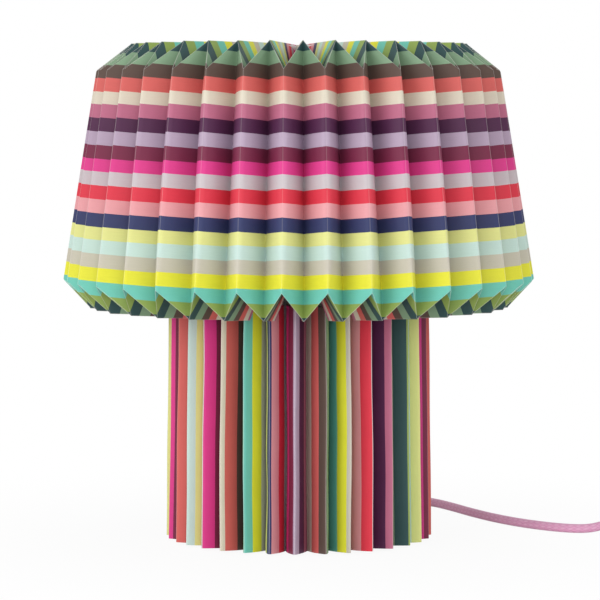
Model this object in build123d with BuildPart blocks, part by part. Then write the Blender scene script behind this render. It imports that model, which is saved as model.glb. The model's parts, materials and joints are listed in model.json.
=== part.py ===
from build123d import *
import os
from math import atan2, cos, degrees, pi, radians, sin, sqrt, tan

# Pleated paper table lamp: a striped paper shade that rests on a wire carrier, over a pleated paper sleeve
# that hides a steel base, a threaded stem and a screw lampholder. Millimetres, +Z up, origin at the centre
# of the underside. The front looks along -Y, +X is on the right, and angles go from +X towards +Y.
os.makedirs("parts", exist_ok=True)

# ---------------------------------------------------------------- driving sizes: paper shade
lamp_height = 349.0  # top folds of the shade above the table
shade_pleats = 35
shade_sheets = 7  # folded sheets that the shade is glued up from
shade_strip = 25.1  # width of the paper between two neighbouring folds
shade_paper = 0.5  # paper laminated on film
shade_first_ridge = -93.87  # angle of one outer fold
top_ridge_radius = 142.1  # outer folds at the upper crease
top_crease_rise = 19.3  # inner folds reach this much higher there
top_crease_slant = 21.5  # the same step measured along the paper
wall_height = 145.6  # from the upper crease to the lower one, on an outer fold
bottom_ridge_radius = 165.7
bottom_crease_drop = 19.8
bottom_crease_slant = 16.8
hub_radius = 12.0  # where the top folds end round the gather ring
hub_sag = 1.0  # the top folds dip this much towards the centre
hub_paper_depth = 2.5  # depth that the pressed paper edge takes at the hub
gather_wall = 1.2
gather_flange = 7.0  # the gather ring's flange reaches this far under the folds
neck_gap = 7.7  # from the sleeve's top to the folds that end round it
neck_dip = 3.6  # the lower folds fall this much from the crease to their end

# ---------------------------------------------------------------- driving sizes: paper sleeve
sleeve_pleats = 35
sleeve_strip = 26.0
sleeve_paper = 0.5
sleeve_first_ridge = -90.5
sleeve_radius_low = 94.3
sleeve_radius_top = 91.7
sleeve_height = 170.0
sleeve_lift = 0.4  # the paper stops short of the table
notch_width = 11.0
notch_height = 12.5
notch_reach = 31.0  # cut to both sides of the outer folds

# ---------------------------------------------------------------- driving sizes: base, stem and lampholder
felt_thickness = 2.0
felt_inset = 3.0
plate_ease = 0.2  # the plate is turned this much smaller than its seat
plate_chamfer = 1.0
plate_thickness = 8.0
seat_gap = 0.3  # between paper and what holds it
stem_radius = 5.0
stem_bore_radius = 3.5
stem_recess = 0.3  # the stem ends this much above the felt
thread_gap = 0.05
nut_flats = 14.0
nut_height = 4.0
washer_radius = 8.2
washer_thickness = 1.0
pocket_radius = 11.0  # pocket for the nut under the plate
pocket_gap = 0.5
disc_thickness = 4.0
disc_level = 140.0  # underside of the disc that keeps the sleeve round
cap_radius = 23.0
cap_wall = 2.2
cap_height = 20.0
cap_round = 4.0
cap_boss_radius = 8.0
stem_grip = 8.0  # length of the stem that the lampholder cap screws on
holder_radius = 19.6
holder_bore_radius = 17.6
holder_height = 42.0
holder_lap = 6.0  # the holder body reaches this far into its cap
shoulder_radius = 23.0
shoulder_thickness = 2.5
shoulder_level = 6.0  # above the cap's rim
holder_step = 2.5  # the body widens over this height above the cap
insert_step = 1.0
insert_bore_radius = 13.9
insert_floor = 6.0
insert_gap = 0.1
insert_height = 35.0
contact_rise = 4.0
contact_width = 6.0
contact_reach = 9.0
contact_knee = 4.5  # half the width at the foot of the contact's arch
contact_arch = 3.0  # half the width of its top
contact_metal = 0.6
contact_back_gap = 0.05
side_contact_metal = 0.4
side_contact_width = 5.0
side_contact_height = 20.0
terminal_offset = 9.0
collar_radius = 27.0
collar_height = 9.0
collar_flange = 1.8
collar_wall_radius = 22.0
collar_grips = 12
collar_grip = 2.0
collar_gap = 0.06
fitter_gap = 0.1  # between the turning carrier and what it lies between

# ---------------------------------------------------------------- driving sizes: carrier and bulb
fitter_radius = 33.0
fitter_thickness = 1.5
carrier_arms = 3
arm_angle = 30.0
arm_wire_radius = 2.0
arm_foot = 44.0  # radius at which the arms turn upwards
arm_foot_rise = 2.0
arm_bend_radius = 14.0
hoop_radius = 91.0
hoop_wire_radius = 2.0
lift_gap = 0.3
bulb_shell_radius = 13.0
bulb_shell_length = 22.0
bulb_neck_radius = 14.5
bulb_neck_length = 6.5
bulb_length = 105.0
bulb_glass_wall = 1.0
bulb_tip_length = 4.2
bulb_button_radius = 4.3
bulb_button_height = 1.0
bulb_shell_chamfer = 1.0
bulb_flare = 0.5  # how much the bulb's outline leans where the housing meets the glass
bulb_housing_length = 26.0
bulb_housing_radius = 22.5
bulb_glass_radius = 30.0
bulb_gap = 0.3  # between the bulb and the centre contact

# ---------------------------------------------------------------- driving sizes: cord and what is on it
cord_diameter = 6.3
exit_angle = 80.0
channel_width = 7.0
channel_start = 20.0
lead_offset = 14.0  # the inner lead rises at this radius
lead_bend = 32.0
lead_gap = 0.2
lead_tail = 5.0  # the lead's jacket ends this far above the cap's floor
core_radius = 1.1
core_spacing = 2.8
grip_radius = 4.6
grip_tip_radius = 3.9
grip_seat = 7.0  # length of the grip held in the plate
grip_straight = 12.0
grip_end = 104.0  # radius at which the grip's tapered tip ends
clamp_radius = 51.0
clamp_width = 12.0
clamp_length = 26.0
clamp_thickness = 2.0
clamp_corner = 2.0
clamp_screw_bite = 3.0
clamp_screw_spacing = 18.0
small_screw_radius = 1.5
small_head_radius = 2.8
small_head_height = 1.8
switch_length = 62.0
switch_width = 24.0
switch_height = 13.0
switch_wall = 1.8
switch_end = 12.0  # solid ends that hold the cord
switch_corner = 9.0
switch_top_fillet = 2.0
switch_low_fillet = 1.0
switch_start = (232.0, 20.8)
rocker_length = 17.0
rocker_width = 9.0
rocker_swing = 7.0
rocker_gap = 0.5
rocker_pin_radius = 1.0
rocker_pin_length = 15.0
rocker_depth = 1.75  # below the pin's axis
rocker_foot = 2.8  # half the length of its underside
rocker_crown = 1.0
rocker_axis_drop = 2.0
rocker_pin_gap = 0.05
pin_seat_gap = 0.02
ear_thickness = 2.2
ear_length = 6.0
ear_gap = 0.5
terminal_length = 6.0
terminal_width = 4.0
terminal_height = 3.0
terminal_spread = 14.0
switch_screw_side = 6.0
switch_screw_length = 8.5
coil_centre = (301.0, 84.0)
coil_outer_radius = 44.0
coil_pitch = 7.0
coil_layer_rise = 7.0
coil_turns_in = 2.75
coil_turns = 6.0
coil_climb_turns = 0.5
tie_width = 9.0
tie_thickness = 0.9
tie_gap = 0.3
tie_ease = 0.8  # room for the curve of the turns inside the tie
tie_corner = 2.0
tie_turns = (0.5, 2.5)  # outermost and innermost turn that the tie goes round
bend_share = 0.45  # share of the shorter run that an arc takes up at either end
exit_run = 14.0  # first run of the cord out of the grip
switch_run = 13.0  # straight run at either end of the switch
coil_run = 14.0  # last run of the cord before the coil
coil_run_out = 10.0
plug_start = (342.0, 132.0)
plug_length = 32.0
plug_waist_width = 27.0
plug_flat = 1.0
plug_boot_lip = 0.6
plug_width = 34.0
plug_thickness = 13.7
plug_neck_width = 15.0
plug_neck_thickness = 11.0
plug_boot_length = 20.0
plug_boot_radius = 5.2
pin_radius = 2.0
pin_length = 19.0
pin_round = 1.0
pin_spacing = 18.6
floor_gap = 0.05  # the cord's tube clears the table by this much

# ---------------------------------------------------------------- worked-out sizes
cord_radius = cord_diameter / 2
cord_level = cord_radius + floor_gap
plate_top = felt_thickness + plate_thickness


def at(radius, angle, z=0.0):
    """Point at a radius and an angle."""
    return (radius * cos(radians(angle)), radius * sin(radians(angle)), z)


def inner_fold_radius(ridge_radius, half_pitch, slant, rise, strip):
    """Radius of the inner fold that one strip of paper reaches from an outer fold."""
    across = strip**2 + slant**2 - rise**2 - (ridge_radius * sin(half_pitch)) ** 2
    return ridge_radius * cos(half_pitch) - sqrt(across)


# ---------------------------------------------------------------- paper shade
shade_half_pitch = pi / shade_pleats
top_ridge_level = lamp_height - top_crease_rise
bottom_ridge_level = top_ridge_level - wall_height
top_valley_radius = inner_fold_radius(
    top_ridge_radius, shade_half_pitch, top_crease_slant, top_crease_rise, shade_strip
)
bottom_valley_radius = inner_fold_radius(
    bottom_ridge_radius, shade_half_pitch, bottom_crease_slant, bottom_crease_drop, shade_strip
)
bottom_valley_level = bottom_ridge_level - bottom_crease_drop
neck_radius = sleeve_radius_top + neck_gap


def flap_depth(radius):
    """Height between the upper and the lower folds of a level flap at a radius."""
    return sqrt(shade_strip**2 - (2 * radius * sin(shade_half_pitch / 2)) ** 2)


hub_level = lamp_height - hub_sag
hub_low_level = hub_level - flap_depth(hub_radius)
neck_low_level = bottom_valley_level - neck_dip
neck_high_level = neck_low_level + flap_depth(neck_radius)

# Each fold is a line of four corners, (radius, level), from the hub over both creases to the neck.
ridge_fold = [
    (hub_radius, hub_low_level),
    (top_ridge_radius, top_ridge_level),
    (bottom_ridge_radius, bottom_ridge_level),
    (neck_radius, neck_high_level),
]
valley_fold = [
    (hub_radius, hub_level),
    (top_valley_radius, lamp_height),
    (bottom_valley_radius, bottom_valley_level),
    (neck_radius, neck_low_level),
]


def strip_normal(zone):
    """Outward normal of one strip in a zone between two corners, in its first fold's plane frame."""
    ridge_a, ridge_b = ridge_fold[zone], ridge_fold[zone + 1]
    valley_a, valley_b = valley_fold[zone], valley_fold[zone + 1]
    turn = cos(shade_half_pitch), sin(shade_half_pitch)
    along = Vector(ridge_b[0] - ridge_a[0], 0, ridge_b[1] - ridge_a[1])
    middle_r = (valley_a[0] + valley_b[0]) / 2
    middle_z = (valley_a[1] + valley_b[1]) / 2
    start_r = (ridge_a[0] + ridge_b[0]) / 2
    start_z = (ridge_a[1] + ridge_b[1]) / 2
    across = Vector(middle_r * turn[0] - start_r, middle_r * turn[1], middle_z - start_z)
    normal = across.cross(along).normalized()
    outward = Vector(1, 0, 1) if zone == 0 else Vector(1, 0, 0) if zone == 1 else Vector(1, 0, -1)
    return normal if normal.dot(outward) > 0 else normal * -1


def inner_corners(fold, turn):
    """The same fold on the paper's inner side, where every strip stays one paper thickness away."""
    normals = [strip_normal(zone).rotate(Axis.Z, turn) for zone in range(3)]
    corners = [(fold[0][0], fold[0][1] - hub_paper_depth)]
    for corner, one, two in ((fold[1], normals[0], normals[1]), (fold[2], normals[1], normals[2])):
        spread = one.X * two.Z - one.Z * two.X
        step_r = -shade_paper * (two.Z - one.Z) / spread
        step_z = -shade_paper * (one.X - two.X) / spread
        corners.append((corner[0] + step_r, corner[1] + step_z))
    corners.append((fold[3][0], fold[3][1] - shade_paper / normals[2].Z))
    return corners


inner_ridge_fold = inner_corners(ridge_fold, 0)
inner_valley_fold = inner_corners(valley_fold, -degrees(shade_half_pitch))


def triangles(a, b, c, d):
    """Two flat faces that fill the four-cornered patch a, b, c, d."""
    return [Face(Wire.make_polygon([a, b, c])), Face(Wire.make_polygon([a, c, d]))]


def fold_corners(fold_number):
    """Outer and inner corners of one fold of the shade, where even numbers are outer folds."""
    angle = shade_first_ridge + degrees(shade_half_pitch) * fold_number
    outer, inner = ((ridge_fold, inner_ridge_fold), (valley_fold, inner_valley_fold))[fold_number % 2]
    return [[at(radius, angle, level) for radius, level in side] for side in (outer, inner)]


# The shade is glued up from folded sheets that meet at inner folds. Each one is a closed skin of flat
# patches, which no sketch gives.
for sheet in range(shade_sheets):
    first_fold = 2 * (shade_pleats * sheet // shade_sheets) + 1
    last_fold = 2 * (shade_pleats * (sheet + 1) // shade_sheets) + 1
    sheet_faces = []
    for fold_number in range(first_fold, last_fold):
        (left_out, left_in), (right_out, right_in) = fold_corners(fold_number), fold_corners(fold_number + 1)
        for near, far in ((0, 1), (1, 2), (2, 3)):
            sheet_faces += triangles(left_out[near], right_out[near], right_out[far], left_out[far])
            sheet_faces += triangles(left_in[near], right_in[near], right_in[far], left_in[far])
        for end in (0, 3):
            sheet_faces += triangles(left_out[end], right_out[end], right_in[end], left_in[end])
    for fold_number in (first_fold, last_fold):
        outer, inner = fold_corners(fold_number)
        sheet_faces.append(Face(Wire.make_polygon(outer + inner[::-1])))
    with BuildPart() as shade_sheet:
        add(Solid(Shell(sheet_faces)))
    shade_sheet.part.label = f"paper_shade_{sheet + 1}"
    export_step(shade_sheet.part, f"parts/paper_shade_{sheet + 1}.step")

gather_radius = hub_radius - seat_gap
with BuildPart() as gather_ring:
    with BuildSketch(Plane.XY.offset(hub_low_level)):
        Circle(gather_radius)
        Circle(gather_radius - gather_wall, mode=Mode.SUBTRACT)
    extrude(amount=hub_level - hub_low_level)
    with BuildSketch(Plane.XY.offset(hub_low_level - hub_paper_depth - gather_wall - seat_gap)):
        Circle(gather_radius + gather_flange)
        Circle(gather_radius - gather_wall, mode=Mode.SUBTRACT)
    extrude(amount=gather_wall)
    with BuildSketch(Plane.XY.offset(hub_low_level - hub_paper_depth - seat_gap - gather_wall)):
        Circle(gather_radius)
        Circle(gather_radius - gather_wall, mode=Mode.SUBTRACT)
    extrude(amount=hub_paper_depth + seat_gap + gather_wall)
gather_ring.part.label = "gather_ring"
export_step(gather_ring.part, "parts/gather_ring.step")

# ---------------------------------------------------------------- paper sleeve
sleeve_half_pitch = pi / sleeve_pleats


def sleeve_ridge_radius(level):
    """Radius of the sleeve's outer folds at a level."""
    return sleeve_radius_low + (sleeve_radius_top - sleeve_radius_low) * level / sleeve_height


def sleeve_valley_radius(level):
    """Radius of the sleeve's inner folds at a level, on the outer side of the paper."""
    return inner_fold_radius(sleeve_ridge_radius(level), sleeve_half_pitch, 0, 0, sleeve_strip)


def sleeve_inset(level, at_ridge):
    """How far a fold steps inwards from the outer to the inner side of the paper."""
    ridge, valley = sleeve_ridge_radius(level), sleeve_valley_radius(level)
    if at_ridge:
        half_fold = atan2(valley * sin(sleeve_half_pitch), ridge - valley * cos(sleeve_half_pitch))
    else:
        half_fold = atan2(ridge * sin(sleeve_half_pitch), ridge * cos(sleeve_half_pitch) - valley)
    return sleeve_paper / sin(half_fold)


def zigzag(level, inset):
    """Corners of the pleated section at a level, on the outer or the inner side of the paper."""
    ridge = sleeve_ridge_radius(level) - (sleeve_inset(level, True) if inset else 0)
    valley = sleeve_valley_radius(level) - (sleeve_inset(level, False) if inset else 0)
    half_turn = degrees(sleeve_half_pitch)
    steps = range(2 * sleeve_pleats)
    return [
        at(valley if step % 2 else ridge, sleeve_first_ridge + half_turn * step)[:2] for step in steps
    ]


exit_plane = Plane(origin=(0, 0, 0), x_dir=at(1, exit_angle), z_dir=(0, 0, 1))
channel_level = plate_top - cord_radius - lead_gap

with BuildPart() as paper_sleeve:
    for side, mode in ((False, Mode.ADD), (True, Mode.SUBTRACT)):
        for level in (sleeve_lift, sleeve_height):
            with BuildSketch(Plane.XY.offset(level)):
                with BuildLine():
                    Polyline(*zigzag(level, side), close=True)
                make_face()
        loft(ruled=True, mode=mode)
    with BuildSketch(exit_plane):
        with Locations((sleeve_radius_low, 0)):
            Rectangle(2 * notch_reach, notch_width)
    extrude(amount=notch_height, mode=Mode.SUBTRACT)
paper_sleeve.part.label = "paper_sleeve"
export_step(paper_sleeve.part, "parts/paper_sleeve.step")

# ---------------------------------------------------------------- base
plate_radius = sleeve_valley_radius(sleeve_lift) - sleeve_inset(sleeve_lift, False) - seat_gap - plate_ease
with BuildPart() as base_plate:
    with BuildSketch(Plane.XY.offset(felt_thickness)):
        Circle(plate_radius)
        Circle(stem_radius + thread_gap, mode=Mode.SUBTRACT)
    extrude(amount=plate_thickness)
    chamfer(base_plate.faces().sort_by(Axis.Z)[-1].edges().sort_by(SortBy.LENGTH)[-1], plate_chamfer)
    with BuildSketch(Plane.XY.offset(felt_thickness)):
        Circle(pocket_radius)
    extrude(amount=nut_height + pocket_gap, mode=Mode.SUBTRACT)
    # channel for the lead, open at the top, and a wider seat for the grip at the rim
    with BuildSketch(exit_plane.offset(channel_level - cord_radius - lead_gap)):
        with Locations(((channel_start + plate_radius) / 2, 0)):
            Rectangle(plate_radius - channel_start + plate_ease, channel_width)
    extrude(until=Until.LAST, mode=Mode.SUBTRACT)
    with BuildSketch(exit_plane.offset(felt_thickness)):
        with Locations((plate_radius, 0)):
            Rectangle(2 * (grip_seat + plate_ease), 2 * (grip_radius + plate_ease))
    extrude(amount=plate_thickness, mode=Mode.SUBTRACT)
    for side in (-1, 1):
        with BuildSketch(exit_plane.offset(plate_top)):
            with Locations((clamp_radius, side * clamp_screw_spacing / 2)):
                Circle(small_screw_radius)
        extrude(amount=-plate_thickness / 2, mode=Mode.SUBTRACT)
base_plate.part.label = "base_plate"
export_step(base_plate.part, "parts/base_plate.step")

with BuildPart() as felt_pad:
    with BuildSketch():
        Circle(plate_radius - felt_inset)
    extrude(amount=felt_thickness)
felt_pad.part.label = "felt_pad"
export_step(felt_pad.part, "parts/felt_pad.step")

# ---------------------------------------------------------------- stem and what is screwed on it
disc_top = disc_level + disc_thickness
cap_level = disc_top + washer_thickness + nut_height
stem_top = cap_level + stem_grip
with BuildPart() as stem:
    with BuildSketch(Plane.XY.offset(felt_thickness + stem_recess)):
        Circle(stem_radius)
        Circle(stem_bore_radius, mode=Mode.SUBTRACT)
    extrude(amount=stem_top - felt_thickness - stem_recess)
stem.part.label = "stem"
export_step(stem.part, "parts/stem.step")

nut_levels = [
    felt_thickness + pocket_gap,
    plate_top + washer_thickness,
    disc_level - washer_thickness - nut_height,
    disc_top + washer_thickness,
]
with BuildPart() as stem_nuts:
    for level in nut_levels:
        with BuildSketch(Plane.XY.offset(level)):
            RegularPolygon(nut_flats / 2, 6, major_radius=False)
            Circle(stem_radius + thread_gap, mode=Mode.SUBTRACT)
        extrude(amount=nut_height)
stem_nuts.part.label = "stem_nuts"
export_step(stem_nuts.part, "parts/stem_nuts.step")

with BuildPart() as stem_washers:
    for level in (plate_top, disc_level - washer_thickness, disc_top):
        with BuildSketch(Plane.XY.offset(level)):
            Circle(washer_radius)
            Circle(stem_radius + thread_gap, mode=Mode.SUBTRACT)
        extrude(amount=washer_thickness)
stem_washers.part.label = "stem_washers"
export_step(stem_washers.part, "parts/stem_washers.step")

lead_x, lead_y, _ = at(lead_offset, exit_angle)
disc_radius = sleeve_valley_radius(disc_top) - sleeve_inset(disc_top, False) - seat_gap
with BuildPart() as top_disc:
    with BuildSketch(Plane.XY.offset(disc_level)):
        Circle(disc_radius)
        Circle(stem_radius + thread_gap, mode=Mode.SUBTRACT)
        with Locations((lead_x, lead_y)):
            Circle(cord_radius + lead_gap, mode=Mode.SUBTRACT)
    extrude(amount=disc_thickness)
top_disc.part.label = "top_disc"
export_step(top_disc.part, "parts/top_disc.step")

# ---------------------------------------------------------------- lampholder
cap_top = cap_level + cap_height
with BuildPart() as holder_cap:
    with BuildSketch(Plane.XY.offset(cap_level)):
        Circle(cap_radius)
    extrude(amount=cap_height)
    fillet(holder_cap.faces().sort_by(Axis.Z)[0].edges(), cap_round)
    with BuildSketch(Plane.XY.offset(cap_level + cap_wall)):
        Circle(cap_radius - cap_wall)
        Circle(cap_boss_radius, mode=Mode.SUBTRACT)
    extrude(amount=cap_height, mode=Mode.SUBTRACT)
    with BuildSketch(Plane.XY.offset(stem_top)):
        Circle(cap_boss_radius)
    extrude(amount=cap_height, mode=Mode.SUBTRACT)
    with BuildSketch(Plane.XY.offset(cap_level)):
        Circle(stem_radius + thread_gap)
        with Locations((lead_x, lead_y)):
            Circle(cord_radius + lead_gap)
    extrude(amount=cap_height, mode=Mode.SUBTRACT)
holder_cap.part.label = "holder_cap"
export_step(holder_cap.part, "parts/holder_cap.step")

holder_low = cap_top - holder_lap
holder_top = holder_low + holder_height
shoulder = cap_top + shoulder_level
spigot_radius = cap_radius - cap_wall - thread_gap
with BuildPart() as holder_body:
    with BuildSketch(Plane.XZ):
        with BuildLine():
            Polyline(
                (holder_bore_radius, holder_low),
                (spigot_radius, holder_low),
                (spigot_radius, cap_top),
                (shoulder_radius, cap_top + holder_step),
                (shoulder_radius, shoulder + shoulder_thickness),
                (holder_radius, shoulder + shoulder_thickness),
                (holder_radius, holder_top),
                (holder_bore_radius, holder_top),
                close=True,
            )
        make_face()
    revolve(axis=Axis.Z)
holder_body.part.label = "holder_body"
export_step(holder_body.part, "parts/holder_body.step")

insert_low = holder_low + insert_step
insert_floor_top = insert_low + insert_floor
with BuildPart() as contact_insert:
    with BuildSketch(Plane.XY.offset(insert_low)):
        Circle(holder_bore_radius - insert_gap)
    extrude(amount=insert_height)
    with BuildSketch(Plane.XY.offset(insert_floor_top)):
        Circle(insert_bore_radius)
    extrude(amount=insert_height, mode=Mode.SUBTRACT)
    with BuildSketch(Plane.XY.offset(insert_low)):
        with Locations((terminal_offset, 0), (-terminal_offset, 0)):
            Circle(small_screw_radius + thread_gap)
    extrude(amount=insert_floor, mode=Mode.SUBTRACT)
contact_insert.part.label = "contact_insert"
export_step(contact_insert.part, "parts/contact_insert.step")

contact_top = insert_floor_top + contact_rise
with BuildPart() as centre_contact:
    with BuildSketch(Plane.XZ):
        with BuildLine():
            Polyline(
                (-contact_reach, insert_floor_top),
                (-contact_knee, insert_floor_top),
                (-contact_arch, contact_top - contact_metal),
                (contact_arch, contact_top - contact_metal),
                (contact_arch, contact_top),
                (-contact_arch - contact_metal, contact_top),
                (-contact_knee - contact_metal, insert_floor_top + contact_metal),
                (-contact_reach, insert_floor_top + contact_metal),
                close=True,
            )
        make_face()
    extrude(amount=contact_width / 2, both=True)
centre_contact.part.label = "centre_contact"
export_step(centre_contact.part, "parts/centre_contact.step")

side_contact_back = sqrt(insert_bore_radius**2 - (side_contact_width / 2) ** 2) - contact_back_gap
with BuildPart() as side_contacts:
    with BuildSketch(Plane.XY.offset(insert_floor_top)):
        for side in (-1, 1):
            with Locations((0, side * (side_contact_back - side_contact_metal / 2))):
                Rectangle(side_contact_width, side_contact_metal)
    extrude(amount=side_contact_height)
side_contacts.part.label = "side_contacts"
export_step(side_contacts.part, "parts/side_contacts.step")

with BuildPart() as terminal_screws:
    for side in (-1, 1):
        with BuildSketch(Plane.XY.offset(insert_low - small_head_height)):
            with Locations((side * terminal_offset, 0)):
                Circle(small_head_radius)
        extrude(amount=small_head_height)
        with BuildSketch(Plane.XY.offset(insert_low)):
            with Locations((side * terminal_offset, 0)):
                Circle(small_screw_radius)
        extrude(amount=insert_floor - contact_metal)
terminal_screws.part.label = "terminal_screws"
export_step(terminal_screws.part, "parts/terminal_screws.step")

fitter_low = shoulder + shoulder_thickness + fitter_gap
collar_low = fitter_low + fitter_thickness + fitter_gap
with BuildPart() as shade_collar:
    with BuildSketch(Plane.XY.offset(collar_low)):
        Circle(collar_radius)
        Circle(holder_radius + collar_gap, mode=Mode.SUBTRACT)
    extrude(amount=collar_flange)
    with BuildSketch(Plane.XY.offset(collar_low + collar_flange)):
        Circle(collar_wall_radius)
        with PolarLocations(collar_wall_radius, collar_grips):
            Rectangle(collar_grip, collar_grip)
        Circle(holder_radius + collar_gap, mode=Mode.SUBTRACT)
    extrude(amount=collar_height - collar_flange)
shade_collar.part.label = "shade_collar"
export_step(shade_collar.part, "parts/shade_collar.step")

# ---------------------------------------------------------------- carrier that the shade rests on
with BuildPart() as carrier_washer:
    with BuildSketch(Plane.XY.offset(fitter_low)):
        Circle(fitter_radius)
        Circle(holder_radius + collar_gap, mode=Mode.SUBTRACT)
    extrude(amount=fitter_thickness)
carrier_washer.part.label = "carrier_washer"
export_step(carrier_washer.part, "parts/carrier_washer.step")

(hub_r, hub_z), (crease_r, crease_z) = inner_ridge_fold[0], inner_ridge_fold[1]
flap_slope = (crease_z - hub_z) / (crease_r - hub_r)
hoop_level = hub_z + flap_slope * (hoop_radius - hub_r) - lift_gap - hoop_wire_radius
with BuildPart() as carrier_hoop:
    with BuildSketch(Plane.XZ):
        with Locations((hoop_radius, hoop_level)):
            Circle(hoop_wire_radius)
    revolve(axis=Axis.Z)
carrier_hoop.part.label = "carrier_hoop"
export_step(carrier_hoop.part, "parts/carrier_hoop.step")

arm_start_level = fitter_low + fitter_thickness / 2
for arm in range(carrier_arms):
    angle = arm_angle + 360 / carrier_arms * arm
    with BuildPart() as carrier_arm:
        with BuildLine() as arm_line:
            FilletPolyline(
                at(fitter_radius - arm_wire_radius, angle, arm_start_level),
                at(arm_foot, angle, arm_start_level + arm_foot_rise),
                at(hoop_radius, angle, hoop_level),
                radius=arm_bend_radius,
            )
        with BuildSketch(Plane(origin=arm_line.line @ 0, z_dir=arm_line.line % 0)):
            Circle(arm_wire_radius)
        sweep()
    carrier_arm.part.label = f"carrier_arm_{arm + 1}"
    export_step(carrier_arm.part, f"parts/carrier_arm_{arm + 1}.step")

# ---------------------------------------------------------------- bulb
tip_low = contact_top + bulb_gap
shell_low = tip_low + bulb_tip_length
neck_low = shell_low + bulb_shell_length
housing_low = neck_low + bulb_neck_length
glass_low = neck_low + bulb_housing_length
bulb_top = tip_low + bulb_length
glass_middle = bulb_top - bulb_glass_radius
with BuildPart() as bulb_tip:
    with BuildSketch(Plane.XZ):
        with BuildLine():
            Polyline(
                (0, tip_low),
                (bulb_button_radius, tip_low),
                (bulb_button_radius, tip_low + bulb_button_height),
                (bulb_shell_radius - bulb_shell_chamfer, shell_low),
                (0, shell_low),
                close=True,
            )
        make_face()
    revolve(axis=Axis.Z)
bulb_tip.part.label = "bulb_tip"
export_step(bulb_tip.part, "parts/bulb_tip.step")

with BuildPart() as bulb_shell:
    with BuildSketch(Plane.XY.offset(shell_low)):
        Circle(bulb_shell_radius)
    extrude(amount=bulb_shell_length)
    chamfer(bulb_shell.faces().sort_by(Axis.Z)[0].edges(), bulb_shell_chamfer)
bulb_shell.part.label = "bulb_shell"
export_step(bulb_shell.part, "parts/bulb_shell.step")

with BuildPart() as bulb_housing:
    with BuildSketch(Plane.XZ):
        with BuildLine():
            Polyline(
                (0, glass_low),
                (0, neck_low),
                (bulb_neck_radius, neck_low),
                (bulb_neck_radius, housing_low),
            )
            Spline(
                (bulb_neck_radius, housing_low),
                (bulb_housing_radius, glass_low),
                tangents=((0, 1), (bulb_flare, 1)),
            )
            Line((bulb_housing_radius, glass_low), (0, glass_low))
        make_face()
    revolve(axis=Axis.Z)
bulb_housing.part.label = "bulb_housing"
export_step(bulb_housing.part, "parts/bulb_housing.step")

inner_glass_radius = bulb_glass_radius - bulb_glass_wall
with BuildPart() as bulb_glass:
    with BuildSketch(Plane.XZ):
        with BuildLine():
            CenterArc((0, glass_middle), bulb_glass_radius, 0, 90)
            Spline(
                (bulb_glass_radius, glass_middle),
                (bulb_housing_radius, glass_low),
                tangents=((0, -1), (-bulb_flare, -1)),
            )
            Line((bulb_housing_radius, glass_low), (bulb_housing_radius - bulb_glass_wall, glass_low))
            Spline(
                (bulb_housing_radius - bulb_glass_wall, glass_low),
                (inner_glass_radius, glass_middle),
                tangents=((bulb_flare, 1), (0, 1)),
            )
            CenterArc((0, glass_middle), inner_glass_radius, 0, 90)
            Line((0, bulb_top - bulb_glass_wall), (0, bulb_top))
        make_face()
    revolve(axis=Axis.Z)
bulb_glass.part.label = "bulb_glass"
export_step(bulb_glass.part, "parts/bulb_glass.step")

# ---------------------------------------------------------------- cord: tools for its tubes
def bend_radii(points):
    """Radius of the arc at each inner point, so that its ends take up a share of the shorter run."""
    route = [Vector(*point) for point in points]
    radii = []
    for before, here, after in zip(route, route[1:], route[2:]):
        run_in, run_out = here - before, after - here
        half_turn = radians(run_in.get_angle(run_out)) / 2
        radii.append(bend_share * min(run_in.length, run_out.length) / tan(half_turn))
    return radii


def say_radii(name, points):
    """Print the bend radii of a cord's tube."""
    print(name, "bend radii", [round(radius, 1) for radius in bend_radii(points)])


# inner lead: from the tip of the grip along the channel, then up beside the stem into the holder cap
lead_top = cap_level + cap_wall + lead_tail
lead_points = [
    at(grip_end, exit_angle, channel_level),
    at(lead_offset, exit_angle, channel_level),
    at(lead_offset, exit_angle, lead_top),
]
with BuildPart() as inner_lead:
    with BuildLine() as lead_line:
        FilletPolyline(*lead_points, radius=lead_bend)
    with BuildSketch(Plane(origin=lead_line.line @ 0, z_dir=lead_line.line % 0)):
        Circle(cord_radius)
    sweep()
inner_lead.part.label = "inner_lead"
export_step(inner_lead.part, "parts/inner_lead.step")
print("inner_lead bend radius", lead_bend)

with BuildPart() as lead_cores:
    with BuildSketch(Plane.XY.offset(lead_top)):
        with Locations((lead_x, lead_y)):
            with Locations((-core_spacing / 2, 0), (core_spacing / 2, 0)):
                Circle(core_radius)
    extrude(amount=insert_low - lead_top)
lead_cores.part.label = "lead_cores"
export_step(lead_cores.part, "parts/lead_cores.step")

grip_plane = Plane(origin=at(0, exit_angle, channel_level), x_dir=(0, 0, 1), z_dir=at(1, exit_angle))
grip_start = plate_radius - grip_seat
with BuildPart() as cord_grip:
    with BuildSketch(grip_plane.offset(grip_start)):
        Circle(grip_radius)
    extrude(amount=grip_straight)
    with BuildSketch(grip_plane.offset(grip_start + grip_straight)):
        Circle(grip_radius)
    with BuildSketch(grip_plane.offset(grip_end)):
        Circle(grip_tip_radius)
    loft()
    with BuildSketch(grip_plane.offset(grip_start)):
        Circle(cord_radius + thread_gap)
    extrude(amount=grip_end - grip_start, mode=Mode.SUBTRACT)
cord_grip.part.label = "cord_grip"
export_step(cord_grip.part, "parts/cord_grip.step")

clamp_holes = [(clamp_radius, side * clamp_screw_spacing / 2) for side in (-1, 1)]
with BuildPart() as channel_clamp:
    with BuildSketch(exit_plane.offset(plate_top)):
        with Locations((clamp_radius, 0)):
            RectangleRounded(clamp_width, clamp_length, clamp_corner)
        with Locations(*clamp_holes):
            Circle(small_screw_radius + thread_gap, mode=Mode.SUBTRACT)
    extrude(amount=clamp_thickness)
channel_clamp.part.label = "channel_clamp"
export_step(channel_clamp.part, "parts/channel_clamp.step")

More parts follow.
